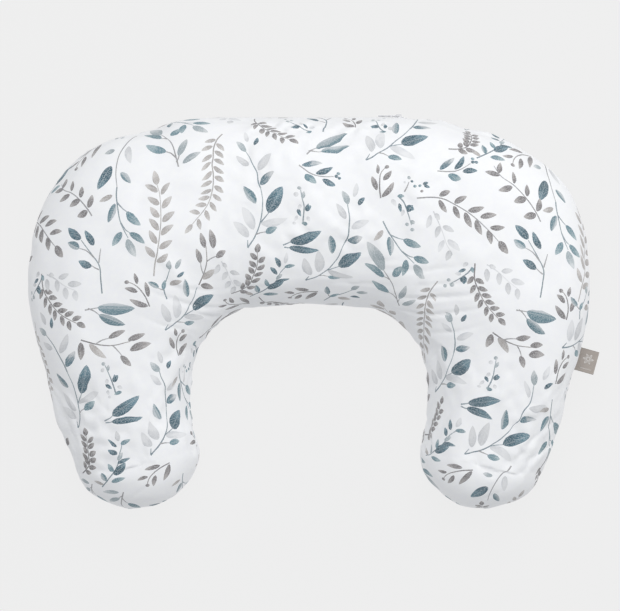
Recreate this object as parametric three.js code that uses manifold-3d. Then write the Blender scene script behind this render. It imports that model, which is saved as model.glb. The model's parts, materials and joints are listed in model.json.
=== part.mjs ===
// Nursing pillow: a horseshoe cushion in a zipped cotton cover, lying on its flat underside.
// Units are millimetres. +Z is up, the open side of the horseshoe faces -Y, and the origin is
// on the floor under the middle of the whole outline, side label included.

import * as THREE from 'three';
import { ParametricGeometry } from 'three/addons/geometries/ParametricGeometry.js';
import * as BufferGeometryUtils from 'three/addons/utils/BufferGeometryUtils.js';
import Module from 'manifold-3d';

const wasm = await Module();
wasm.setup();

// ---------------------------------------------------------------- driving dimensions

// The spine runs through the middle of the cushion: straight behind the back, round a bend on
// each side, then straight down each arm to a rounded tip.
const BACK_SPINE_Y = 109;
const BACK_HALF = 70;
const BEND_RADIUS = 135;
const BEND_ANGLE = THREE.MathUtils.degToRad(103);
const ARM_STRAIGHT = 105;
const TIP_LENGTH = 48;

// Sizes at equal steps along the spine, from the middle of the back to the end of an arm.
const STEP = 60;
const OUTER_WIDTHS = [99, 99, 106, 124, 106, 83, 79.5, 71];
const INNER_WIDTHS = [98, 102, 106, 105, 100, 88, 63.5, 59];
const SEAM_HEIGHTS = [72, 72, 72, 72, 68, 63, 58, 54];
const CROWN_HEIGHTS = [154, 154, 156, 157, 150, 139, 128, 118];

// The back edge is kept straight where the zip is sewn in.
const BACK_EDGE_WIDTH = 98.6;
const BACK_EDGE_END = 95;
const BACK_EDGE_BLEND = 30;

// Cross-section: a superellipse above and below the seam, flattened where it rests.
const ROUNDNESS = 2.3;
const REST_FLATTENING = 1.12;
const PANEL_GAP = 0.3;

// Depth of each layer's faces below the outside of the cover, at the seam and on the crown.
const LAYERS = {
  coverOutside: { side: 0, crown: 0 },
  coverInside: { side: 1.2, crown: 1.2 },
  casingOutside: { side: 4.6, crown: 1.6 },
  casingInside: { side: 5.6, crown: 2.6 },
  filling: { side: 5.9, crown: 2.9 },
};

// Zip, sewn into the seam at the middle of the back. Depths are measured in from the edge.
const ZIP = {
  slotHalf: 108,
  slotHeight: 10.4,
  tapeHalf: 112,
  tapeFront: 2.3,
  tapeBack: 3,
  tapeNear: 1.6,
  tapeFar: 12,
  chainFront: 0.5,
  chainBack: 2,
  chainNear: 0.45,
  chainFar: 3.05,
  chainStart: -100.5,
  chainEnd: 101.5,
  stopGap: 0.4,
  stopLength: 2,
};
const SLIDER = { x: 95.5, length: 10, halfHeight: 4.3, plate: 1, lip: 0.9, neck: 0.4, neckLength: 3 };
const BAIL = { halfLength: 2.8, halfHeight: 1.1, post: 0.8, bar: 0.7, axisDepth: -1.85, pinRadius: 0.6 };
const PULL = { length: 22, halfHeight: 3, thickness: 1.2, armHeight: 1, armNear: 1.6, eyeStart: 4 };

// Labels: a folded woven one in the right arm's seam, and a plain one hidden behind the seam.
const SIDE_LABEL = { spineAt: 296.5, length: 19.5, width: 25, layer: 0.5, fold: 0.6, tilt: -15.5, gap: 0.9 };
const CARE_LABEL = { spineAt: 352, length: 30, height: 24, thickness: 0.6, depth: 2.9 };

// How far the whole outline's middle is from the middle of the back.
const OUTLINE_SHIFT = new THREE.Vector3(-4.6, -1.6, 0);

// Mesh resolution.
const BACK_ROWS = 3;
const ARM_ROWS = 10;
const TIP_ANGLES = [24, 46, 66, 81, 90];
const SECTION_ANGLES = [-90, -82, -70, -55, -38, -20, 0, 20, 38, 55, 70, 82, 90];

// ---------------------------------------------------------------- materials

const material = (name, color, roughness, metalness = 0) =>
  new THREE.MeshStandardMaterial({ name, color, roughness, metalness });

const COTTON = { color: 0xf4f6f8, roughness: 0.88 };
const CASING = { color: 0xf2f1ee, roughness: 0.92 };
const ZIP_WHITE = { color: 0xeceef0, roughness: 0.6 };
const METAL = { color: 0xb9bcc0, roughness: 0.35, metalness: 1 };
const LABEL = { color: 0xa59e98, roughness: 0.85 };
const CARE = { color: 0xf7f7f5, roughness: 0.7 };
const FIBRE = { color: 0xfbfbfa, roughness: 1 };

// ---------------------------------------------------------------- cushion surface

const BEND_LENGTH = BEND_RADIUS * BEND_ANGLE;
const SPINE_HALF = BACK_HALF + BEND_LENGTH + ARM_STRAIGHT;
const BEND_CENTRE_Y = BACK_SPINE_Y - BEND_RADIUS;

// Smooth curve through equally spaced values, level at the middle of the back.
function along(values, distance) {
  const last = values.length - 1;
  const position = Math.min(Math.max(distance / STEP, 0), last);
  const index = Math.min(Math.floor(position), last - 1);
  const part = position - index;
  const before = index === 0 ? values[1] : values[index - 1];
  const from = values[index];
  const to = values[index + 1];
  const after = index === last - 1 ? 2 * to - from : values[index + 2];
  const linear = (to - before) * part;
  const square = (2 * before - 5 * from + 4 * to - after) * part ** 2;
  const cube = (3 * from - before - 3 * to + after) * part ** 3;
  return (2 * from + linear + square + cube) / 2;
}

// Middle of the cushion at a signed distance along the spine, and the way out of the horseshoe.
function spineFrame(distance) {
  const side = Math.sign(distance) || 1;
  const s = Math.min(Math.abs(distance), SPINE_HALF);
  const turned = THREE.MathUtils.clamp((s - BACK_HALF) / BEND_RADIUS, 0, BEND_ANGLE);
  const straightOn = Math.max(s - BACK_HALF - BEND_LENGTH, 0);
  const straight = Math.min(s, BACK_HALF);
  const outX = Math.sin(turned);
  const outY = Math.cos(turned);
  return {
    x: side * (straight + BEND_RADIUS * outX + straightOn * outY),
    y: BEND_CENTRE_Y + BEND_RADIUS * outY - straightOn * outX,
    out: new THREE.Vector2(side * outX, outY),
    along: new THREE.Vector2(outY, -side * outX),
  };
}

// Distance from the spine to the outer edge, exactly straight in plan over the zip.
function outerWidth(distance) {
  const s = Math.abs(distance);
  const turned = Math.max(s - BACK_HALF, 0) / BEND_RADIUS;
  const straightEdge = (BACK_EDGE_WIDTH + BEND_RADIUS) / Math.cos(Math.min(turned, 1)) - BEND_RADIUS;
  const blend = THREE.MathUtils.smoothstep(s, BACK_EDGE_END, BACK_EDGE_END + BACK_EDGE_BLEND);
  return THREE.MathUtils.lerp(straightEdge, along(OUTER_WIDTHS, s), blend);
}

// Point on a layer: half is 1 above the seam and -1 below it, gap opens the seam between panels.
function surfacePoint(station, angle, layer, half, gap) {
  const distance = station.side * station.s;
  const frame = spineFrame(distance);
  const swing = Math.sin(angle);
  const across = Math.sign(swing) * Math.abs(swing) ** (2 / ROUNDNESS);
  const width = (across > 0 ? outerWidth(distance) : along(INNER_WIDTHS, station.s)) - layer.side;
  const tip = Math.sin(station.tip);
  const shrink = Math.cos(station.tip);
  const reach = Math.min(Math.hypot(tip, shrink * across), 1);
  const rise = (1 - reach ** ROUNDNESS) ** (1 / ROUNDNESS);
  const seam = along(SEAM_HEIGHTS, station.s);
  const crown = along(CROWN_HEIGHTS, station.s) - seam;
  const up = (crown - layer.crown - gap / 2) * rise;
  const deepest = seam - layer.crown - gap / 2;
  const down = Math.min((seam * REST_FLATTENING - layer.crown - gap / 2) * rise, deepest);
  const beyond = (TIP_LENGTH - layer.side) * tip * station.side;
  const sideways = width * shrink * across;
  return new THREE.Vector3(
    frame.x + frame.out.x * sideways + frame.along.x * beyond,
    frame.y + frame.out.y * sideways + frame.along.y * beyond,
    seam + half * (gap / 2 + (half > 0 ? up : down)),
  );
}

// Stations from one arm's tip to the other's.
function makeStations() {
  const right = [];
  for (let row = 1; row <= BACK_ROWS; row += 1) {
    right.push({ s: BACK_EDGE_END * row / BACK_ROWS, tip: 0, side: 1 });
  }
  for (let row = 1; row <= ARM_ROWS; row += 1) {
    right.push({ s: THREE.MathUtils.lerp(BACK_EDGE_END, SPINE_HALF, row / ARM_ROWS), tip: 0, side: 1 });
  }
  for (const degrees of TIP_ANGLES) {
    right.push({ s: SPINE_HALF, tip: THREE.MathUtils.degToRad(degrees), side: 1 });
  }
  const left = right.map((station) => ({ ...station, side: -1 })).reverse();
  return [...left, { s: 0, tip: 0, side: 1 }, ...right];
}

const STATIONS = makeStations();
const ANGLES = SECTION_ANGLES.map((degrees) => THREE.MathUtils.degToRad(degrees));

// Skin over one half of a layer, from the inner edge to the outer one. Facing the other way
// round keeps the same triangles, so that nested layers stay parallel.
function skin(layer, half, gap, reversed) {
  const rows = STATIONS.length - 1;
  const columns = ANGLES.length - 1;
  const geometry = new ParametricGeometry((u, v, target) => {
    const column = Math.round(u * columns);
    const row = Math.round(v * rows);
    target.copy(surfacePoint(STATIONS[row], ANGLES[column], layer, half, gap));
  }, columns, rows);
  if (reversed) {
    geometry.setIndex([...geometry.index.array].reverse());
  }
  return geometry;
}

// Strip between two layers along one edge of a panel.
function rim(fromLayer, toLayer, edge, half, gap) {
  const rows = STATIONS.length - 1;
  return new ParametricGeometry((u, v, target) => {
    const layer = u < 0.5 ? fromLayer : toLayer;
    const row = Math.round(v * rows);
    target.copy(surfacePoint(STATIONS[row], edge * Math.PI / 2, layer, half, gap));
  }, 1, rows);
}

// ---------------------------------------------------------------- solids

function signedVolume(position, index) {
  const corners = [new THREE.Vector3(), new THREE.Vector3(), new THREE.Vector3()];
  let volume = 0;
  for (let face = 0; face < index.length; face += 3) {
    corners.forEach((corner, at) => corner.fromBufferAttribute(position, index[face + at]));
    volume += corners[0].dot(corners[1].cross(corners[2])) / 6;
  }
  return volume;
}

// Joins faces that share edges into one closed geometry that faces outwards.
function closed(geometries) {
  const bare = geometries.map((geometry) => {
    const copy = geometry.index ? geometry.clone() : BufferGeometryUtils.mergeVertices(geometry);
    copy.deleteAttribute('normal');
    copy.deleteAttribute('uv');
    copy.clearGroups();
    return copy;
  });
  const merged = BufferGeometryUtils.mergeVertices(BufferGeometryUtils.mergeGeometries(bare), 1e-3);
  const index = [];
  for (let face = 0; face < merged.index.count; face += 3) {
    const corners = [0, 1, 2].map((at) => merged.index.getX(face + at));
    if (new Set(corners).size === 3) {
      index.push(...corners);
    }
  }
  if (signedVolume(merged.getAttribute('position'), index) < 0) {
    index.reverse();
  }
  merged.setIndex(index);
  return merged;
}

function toSolid(geometry) {
  const whole = closed([geometry]);
  return new wasm.Manifold(new wasm.Mesh({
    numProp: 3,
    vertProperties: new Float32Array(whole.getAttribute('position').array),
    triVerts: new Uint32Array(whole.index.array),
  }));
}

function toGeometry(solid) {
  const mesh = solid.getMesh();
  const geometry = new THREE.BufferGeometry();
  geometry.setAttribute('position', new THREE.BufferAttribute(mesh.vertProperties, 3));
  geometry.setIndex(new THREE.BufferAttribute(mesh.triVerts, 1));
  return geometry;
}

const joined = (geometries) => toGeometry(geometries.map(toSolid).reduce((all, next) => all.add(next)));

const cut = (geometry, cutter) => toGeometry(toSolid(geometry).subtract(toSolid(cutter)));

// Box between two corners.
function block(low, high) {
  const from = new THREE.Vector3(...low);
  const to = new THREE.Vector3(...high);
  const size = to.clone().sub(from);
  const centre = from.add(to).multiplyScalar(0.5);
  return new THREE.BoxGeometry(size.x, size.y, size.z).translate(centre.x, centre.y, centre.z);
}

// Panel of a cover or casing: two skins joined along both edges.
function panel(outside, inside, half) {
  return closed([
    skin(outside, half, PANEL_GAP, false),
    skin(inside, half, PANEL_GAP, true),
    rim(inside, outside, -1, half, PANEL_GAP),
    rim(outside, inside, 1, half, PANEL_GAP),
  ]);
}

// ---------------------------------------------------------------- zip

const ZIP_Z = SEAM_HEIGHTS[0];
const ZIP_EDGE_Y = BACK_SPINE_Y + BACK_EDGE_WIDTH;

// Box on the zip: x range, depth range in from the edge, height range from its centre line.
const zipBlock = (x, depth, z) => block(
  [x[0], ZIP_EDGE_Y - depth[1], ZIP_Z + z[0]],
  [x[1], ZIP_EDGE_Y - depth[0], ZIP_Z + z[1]],
);

// The same height range above the centre line, or mirrored below it.
const onSide = (half, near, far) => (half > 0 ? [near, far] : [-far, -near]);

function zipTape(half) {
  const ends = [-ZIP.tapeHalf, ZIP.tapeHalf];
  return zipBlock(ends, [ZIP.tapeFront, ZIP.tapeBack], onSide(half, ZIP.tapeNear, ZIP.tapeFar));
}

// One row of zip coil, with its long edges rounded off.
function zipChain(half) {
  const [low, high] = onSide(half, ZIP.chainNear, ZIP.chainFar);
  const corner = 0.4;
  const depthAt = [ZIP.chainFront, ZIP.chainBack];
  const outline = [
    [-depthAt[0] - corner, low], [-depthAt[1] + corner, low], [-depthAt[1], low + corner],
    [-depthAt[1], high - corner], [-depthAt[1] + corner, high], [-depthAt[0] - corner, high],
    [-depthAt[0], high - corner], [-depthAt[0], low + corner],
  ];
  const shape = new THREE.Shape(outline.map(([depth, z]) => new THREE.Vector2(depth, z)));
  const length = ZIP.chainEnd - ZIP.chainStart;
  const rod = new THREE.ExtrudeGeometry(shape, { depth: length, steps: 1, bevelEnabled: false });
  const basis = new THREE.Matrix4().makeBasis(
    new THREE.Vector3(0, 1, 0),
    new THREE.Vector3(0, 0, 1),
    new THREE.Vector3(1, 0, 0),
  );
  return rod.applyMatrix4(basis).translate(ZIP.chainStart, ZIP_EDGE_Y, ZIP_Z);
}

function topStop(half) {
  const start = ZIP.chainEnd + ZIP.stopGap;
  const depth = [ZIP.chainFront - 0.2, ZIP.chainBack];
  return zipBlock([start, start + ZIP.stopLength], depth, onSide(half, ZIP.chainNear, ZIP.chainFar));
}

function bottomStop() {
  const end = ZIP.chainStart - ZIP.stopGap;
  const depth = [ZIP.chainFront - 0.2, ZIP.chainBack];
  return zipBlock([end - ZIP.stopLength, end], depth, [-ZIP.chainFar, ZIP.chainFar]);
}

// Front plate with side lips over the coil, a neck between the rows, a back plate and a bail.
function zipSlider() {
  const half = SLIDER.length / 2;
  const ends = [SLIDER.x - half, SLIDER.x + half];
  const plateFront = 0.2 - SLIDER.plate;
  const lipNear = SLIDER.halfHeight - SLIDER.lip;
  const barFront = BAIL.axisDepth - BAIL.pinRadius - 0.45 - BAIL.bar;
  const bailEnds = [SLIDER.x - BAIL.halfLength, SLIDER.x + BAIL.halfLength];
  const across = [-BAIL.halfHeight, BAIL.halfHeight];
  const pieces = [
    zipBlock(ends, [plateFront, 0.2], [-SLIDER.halfHeight, SLIDER.halfHeight]),
    zipBlock(ends, [0.1, ZIP.chainBack], [lipNear, SLIDER.halfHeight]),
    zipBlock(ends, [0.1, ZIP.chainBack], [-SLIDER.halfHeight, -lipNear]),
    zipBlock([ends[1] - SLIDER.neckLength, ends[1]], [0.1, 3.4], [-SLIDER.neck / 2, SLIDER.neck / 2]),
    zipBlock(ends, [3.3, 4.2], [-lipNear, lipNear]),
    zipBlock([bailEnds[0], bailEnds[0] + BAIL.post], [barFront, plateFront + 0.1], across),
    zipBlock([bailEnds[1] - BAIL.post, bailEnds[1]], [barFront, plateFront + 0.1], across),
    zipBlock(bailEnds, [barFront, barFront + BAIL.bar], across),
  ];
  return joined(pieces);
}

// Tab that hangs from a pin under the bail, lying back along the closed zip.
function zipPull() {
  const depth = [BAIL.axisDepth - PULL.thickness / 2, BAIL.axisDepth + PULL.thickness / 2];
  const eyeEnd = SLIDER.x - PULL.eyeStart;
  const pin = new THREE.CylinderGeometry(BAIL.pinRadius, BAIL.pinRadius, 2 * (PULL.armNear + 0.5), 12);
  pin.rotateX(Math.PI / 2).translate(SLIDER.x, ZIP_EDGE_Y - BAIL.axisDepth, ZIP_Z);
  const arm = (half) => zipBlock(
    [eyeEnd - 1, SLIDER.x + BAIL.pinRadius],
    depth,
    onSide(half, PULL.armNear, PULL.armNear + PULL.armHeight),
  );
  const tab = zipBlock([SLIDER.x - PULL.length, eyeEnd], depth, [-PULL.halfHeight, PULL.halfHeight]);
  const hole = new THREE.CylinderGeometry(1.5, 1.5, 4, 20);
  hole.translate(SLIDER.x - PULL.length + 3.5, ZIP_EDGE_Y - BAIL.axisDepth, ZIP_Z);
  return cut(joined([pin, arm(1), arm(-1), tab]), hole);
}

// ---------------------------------------------------------------- labels

// Point on the outer seam edge, a given depth inside it.
function edgePoint(distance, depth) {
  const frame = spineFrame(distance);
  const reach = outerWidth(distance) - depth;
  return new THREE.Vector2(frame.x + frame.out.x * reach, frame.y + frame.out.y * reach);
}

// Woven strip folded over at its free end, seen from the side as a flat U.
function foldedStrip({ length, width, layer, fold }) {
  const slit = 0.3;
  const half = layer + slit / 2;
  const shape = new THREE.Shape();
  shape.moveTo(0, -half);
  shape.lineTo(length - fold, -half);
  shape.lineTo(length, -half / 2);
  shape.lineTo(length, half / 2);
  shape.lineTo(length - fold, half);
  shape.lineTo(0, half);
  shape.lineTo(0, slit / 2);
  shape.lineTo(length - 2 * fold, slit / 2);
  shape.lineTo(length - 2 * fold, -slit / 2);
  shape.lineTo(0, -slit / 2);
  shape.closePath();
  const strip = new THREE.ExtrudeGeometry(shape, { depth: width, steps: 1, bevelEnabled: false });
  return strip.translate(0, 0, -width / 2).rotateX(Math.PI / 2);
}

function placeSideLabel(mesh) {
  const root = edgePoint(SIDE_LABEL.spineAt, -SIDE_LABEL.gap);
  const tilt = THREE.MathUtils.degToRad(SIDE_LABEL.tilt);
  mesh.position.set(root.x, root.y, along(SEAM_HEIGHTS, SIDE_LABEL.spineAt));
  mesh.rotation.z = tilt;
  return mesh;
}

function placeCareLabel(mesh) {
  const half = CARE_LABEL.length / 2;
  const from = edgePoint(-CARE_LABEL.spineAt - half, CARE_LABEL.depth);
  const to = edgePoint(-CARE_LABEL.spineAt + half, CARE_LABEL.depth);
  const middle = from.clone().add(to).multiplyScalar(0.5);
  mesh.position.set(middle.x, middle.y, along(SEAM_HEIGHTS, CARE_LABEL.spineAt));
  mesh.rotation.z = to.sub(from).angle();
  return mesh;
}

// ---------------------------------------------------------------- assembly

const pillow = new THREE.Group();
pillow.position.copy(OUTLINE_SHIFT);

function add(name, geometry, look) {
  const { color, roughness, metalness } = look;
  const mesh = new THREE.Mesh(geometry, material(name, color, roughness, metalness));
  mesh.name = name;
  pillow.add(mesh);
  return mesh;
}

const zipSlot = zipBlock(
  [-ZIP.slotHalf, ZIP.slotHalf],
  [-8, 8],
  [-ZIP.slotHeight / 2, ZIP.slotHeight / 2],
);

for (const [half, word] of [[1, 'upper'], [-1, 'lower']]) {
  add(`cover_${word}_panel`, cut(panel(LAYERS.coverOutside, LAYERS.coverInside, half), zipSlot), COTTON);
  add(`casing_${word}_panel`, panel(LAYERS.casingOutside, LAYERS.casingInside, half), CASING);
  add(`zip_tape_${word}`, zipTape(half), ZIP_WHITE);
  add(`zip_chain_${word}`, zipChain(half), ZIP_WHITE);
  add(`zip_top_stop_${word}`, topStop(half), METAL);
}
add('zip_bottom_stop', bottomStop(), METAL);
add('zip_slider', zipSlider(), METAL);
add('zip_pull', zipPull(), METAL);
add('fibre_filling', closed([
  skin(LAYERS.filling, 1, 0, false),
  skin(LAYERS.filling, -1, 0, true),
]), FIBRE);
placeSideLabel(add('side_label', foldedStrip(SIDE_LABEL), LABEL));
placeCareLabel(add(
  'care_label',
  new THREE.BoxGeometry(CARE_LABEL.length, CARE_LABEL.thickness, CARE_LABEL.height),
  CARE,
));

export default pillow;
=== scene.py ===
"""Nursing pillow: a printed cotton cover over a fibre cushion, with a zip and two labels."""

import json
import math

import bmesh
import bpy
import numpy as np
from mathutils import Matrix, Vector
from mathutils.geometry import delaunay_2d_cdt


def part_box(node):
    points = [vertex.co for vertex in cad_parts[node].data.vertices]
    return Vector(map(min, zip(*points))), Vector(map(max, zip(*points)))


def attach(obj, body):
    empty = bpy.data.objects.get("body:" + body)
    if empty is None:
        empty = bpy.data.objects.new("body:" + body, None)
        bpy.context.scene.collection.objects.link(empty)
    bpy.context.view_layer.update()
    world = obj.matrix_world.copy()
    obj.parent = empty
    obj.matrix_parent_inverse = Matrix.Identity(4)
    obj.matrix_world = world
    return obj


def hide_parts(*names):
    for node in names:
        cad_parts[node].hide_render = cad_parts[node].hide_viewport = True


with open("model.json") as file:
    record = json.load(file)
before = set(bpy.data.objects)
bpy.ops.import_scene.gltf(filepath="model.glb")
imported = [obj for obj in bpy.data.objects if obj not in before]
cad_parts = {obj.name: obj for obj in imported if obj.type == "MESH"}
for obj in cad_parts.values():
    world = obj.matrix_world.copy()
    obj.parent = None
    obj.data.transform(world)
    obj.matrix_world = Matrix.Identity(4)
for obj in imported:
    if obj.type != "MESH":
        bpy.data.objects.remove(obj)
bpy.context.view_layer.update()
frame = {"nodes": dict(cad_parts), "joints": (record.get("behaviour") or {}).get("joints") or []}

MM = 0.001

# ------------------------------------------------------------------ driving dimensions (mm)

# The spine runs through the middle of the cushion, as in the CAD model: straight behind the
# back, round a bend on each side, then straight down each arm to a rounded tip.
BACK_SPINE_Y = 109.0
BACK_HALF = 70.0
BEND_RADIUS = 135.0
BEND_ANGLE = math.radians(103)
ARM_STRAIGHT = 105.0
TIP_LENGTH = 48.0
BEND_LENGTH = BEND_RADIUS * BEND_ANGLE
BEND_END = BACK_HALF + BEND_LENGTH
SPINE_HALF = BEND_END + ARM_STRAIGHT

# Sizes at equal steps along the spine, from the middle of the back to the end of an arm.
STEP = 60.0
# Half widths every 60 mm along the spine, measured on the photo's outline by a script and rounded.
OUTER_WIDTHS = [99, 99, 106, 124, 106, 83, 79.5, 71]
INNER_WIDTHS = [98, 102, 106, 105, 100, 88, 63.5, 59]
SEAM_HEIGHTS = [72, 72, 72, 72, 68, 63, 58, 54]
CROWN_HEIGHTS = [154, 154, 156, 157, 150, 139, 128, 118]
BACK_EDGE_WIDTH = 98.6
BACK_EDGE_END = 95.0
BACK_EDGE_BLEND = 30.0
ROUNDNESS = 2.3
REST_FLATTENING = 1.12
REST_SOFTNESS = 6.0

# The cover's cloth is cut flat with its arms splayed by less than the finished bend.
FLAT_BEND_ANGLE = math.radians(85)
FLAT_RADIUS = BEND_LENGTH / FLAT_BEND_ANGLE
FLAT_BEND_X = BACK_HALF + FLAT_RADIUS * math.sin(FLAT_BEND_ANGLE)
FLAT_BEND_Y = FLAT_RADIUS * (math.cos(FLAT_BEND_ANGLE) - 1)
TIP_CLOTH_SHARE = 0.86

# Cloth thickness, mesh steps and the seam.
CLOTH_THICKNESS = 0.7
CLOTH_STEP = 3.3
EDGE_STEP = 3.0
EDGE_RINGS = [0.8, 1.8, 3.4]
SEAM_DEPTH = 1.3
SEAM_WIDTH = 1.5
SEAM_GAP = 0.12

# Where the layers inside lie, in from the outside of the cover at the seam and on the crown.
CASING_DEPTH = (4.6, 1.9)
FILLING_DEPTH = (6.2, 3.2)

# The zip's slot in the back seam.
SLOT_HALF = 108.0
SLOT_TAPER = 9.0
SLOT_OPENING = 4.9
SLOT_LIP = 1.5
LINING_STEP = 6.0
CASING_ROWS, CASING_TIP_ROWS, CASING_COLUMNS = 90, 14, 56
METAL_BEVEL = 0.12
SIDE_LABEL_WIDTH = 25.0
CARE_LABEL_LENGTH, CARE_LABEL_WIDTH, CARE_LABEL_THICKNESS = 30.0, 24.0, 0.35
CARE_LABEL_AT, CARE_LABEL_INSET = 352.0, 8.0

# The frame's boxes place everything: the pillow's middle in X, and its back edge in Y.
COVER_LOW, COVER_HIGH = (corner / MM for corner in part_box("cover_upper_panel"))
MIDDLE_X = (COVER_LOW.x + COVER_HIGH.x) / 2
MIDDLE_Y = COVER_HIGH.y - BACK_SPINE_Y - BACK_EDGE_WIDTH


# ------------------------------------------------------------------ cushion surface

def along(values, distance):
    """Smooth curve through equally spaced values, level at the middle of the back."""
    values = np.asarray(values, float)
    position = np.clip(np.asarray(distance, float) / STEP, 0, len(values) - 1)
    index = np.minimum(position.astype(int), len(values) - 2)
    part = position - index
    padded = np.concatenate([[values[1]], values, [2 * values[-1] - values[-2]]])
    before, start, end, after = (padded[index + offset] for offset in range(4))
    square = (2 * before - 5 * start + 4 * end - after) * part ** 2
    cube = (3 * start - before - 3 * end + after) * part ** 3
    return (2 * start + (end - before) * part + square + cube) / 2


def smooth_step(value, low, high):
    part = np.clip((value - low) / (high - low), 0, 1)
    return part * part * (3 - 2 * part)


def outer_width(s):
    turned = np.minimum(np.maximum(s - BACK_HALF, 0) / BEND_RADIUS, 1)
    straight_edge = (BACK_EDGE_WIDTH + BEND_RADIUS) / np.cos(turned) - BEND_RADIUS
    blend = smooth_step(s, BACK_EDGE_END, BACK_EDGE_END + BACK_EDGE_BLEND)
    return straight_edge + (along(OUTER_WIDTHS, s) - straight_edge) * blend


def side_width(s, outer):
    return np.where(outer, outer_width(s), along(INNER_WIDTHS, s))


def section_rise(reach):
    return np.maximum(1 - np.minimum(reach, 1) ** ROUNDNESS, 0) ** (1 / ROUNDNESS)


def section_height(s, reach, half, depth=0.0):
    """Height at a share of the way out from the spine, above or below the seam."""
    seam = along(SEAM_HEIGHTS, s)
    rise = section_rise(reach)
    if half > 0:
        return seam + (along(CROWN_HEIGHTS, s) - seam - depth) * rise
    bulge = (REST_FLATTENING * seam - depth) * rise
    deepest = seam - depth
    overlap = np.maximum(REST_SOFTNESS - np.abs(bulge - deepest), 0) / REST_SOFTNESS
    return seam - (np.minimum(bulge, deepest) - overlap ** 2 * REST_SOFTNESS / 4)


STATION_COUNT = 121
SHARE_COUNT = 129
STATIONS = np.linspace(0, SPINE_HALF, STATION_COUNT)


def measure_sections(half, outer):
    """For each station, the reach at equal shares of the cloth's way round, and that way's length."""
    turn = np.linspace(0, math.pi / 2, 801)
    reach = np.sin(turn) ** (2 / ROUNDNESS)
    shares = np.linspace(0, 1, SHARE_COUNT)
    reaches = np.zeros((STATION_COUNT, SHARE_COUNT))
    lengths = np.zeros(STATION_COUNT)
    for index, s in enumerate(STATIONS):
        across = side_width(s, outer) * reach
        height = section_height(np.full_like(reach, s), reach, half)
        way = np.concatenate([[0], np.cumsum(np.hypot(np.diff(across), np.diff(height)))])
        lengths[index] = way[-1]
        reaches[index] = np.interp(shares, way / way[-1], reach)
    return reaches, lengths


SECTIONS = {(half, outer): measure_sections(half, outer) for half in (1, -1) for outer in (True, False)}
TIP_CLOTH = {
    half: TIP_CLOTH_SHARE * (SECTIONS[half, True][1][-1] + SECTIONS[half, False][1][-1]) / 2
    for half in (1, -1)
}


def cloth_length(s, half, outer):
    return np.where(
        outer,
        np.interp(s, STATIONS, SECTIONS[half, True][1]),
        np.interp(s, STATIONS, SECTIONS[half, False][1]),
    )


def table_value(table, s, share):
    """Bilinear lookup in a table over stations and shares."""
    row = np.clip(s / SPINE_HALF, 0, 1) * (STATION_COUNT - 1)
    column = np.clip(share, 0, 1) * (SHARE_COUNT - 1)
    i = np.minimum(row.astype(int), STATION_COUNT - 2)
    j = np.minimum(column.astype(int), SHARE_COUNT - 2)
    a, b = row - i, column - j
    low = table[i, j] * (1 - b) + table[i, j + 1] * b
    high = table[i + 1, j] * (1 - b) + table[i + 1, j + 1] * b
    return low * (1 - a) + high * a


def spine_point(s):
    """Place on the right half of the spine, and the way out of the horseshoe there."""
    turned = np.clip((s - BACK_HALF) / BEND_RADIUS, 0, BEND_ANGLE)
    arm = np.maximum(s - BEND_END, 0)
    out_x, out_y = np.sin(turned), np.cos(turned)
    x = np.minimum(s, BACK_HALF) + BEND_RADIUS * out_x + arm * out_y
    y = BACK_SPINE_Y - BEND_RADIUS + BEND_RADIUS * out_y - arm * out_x
    return x, y, out_x, out_y


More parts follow.
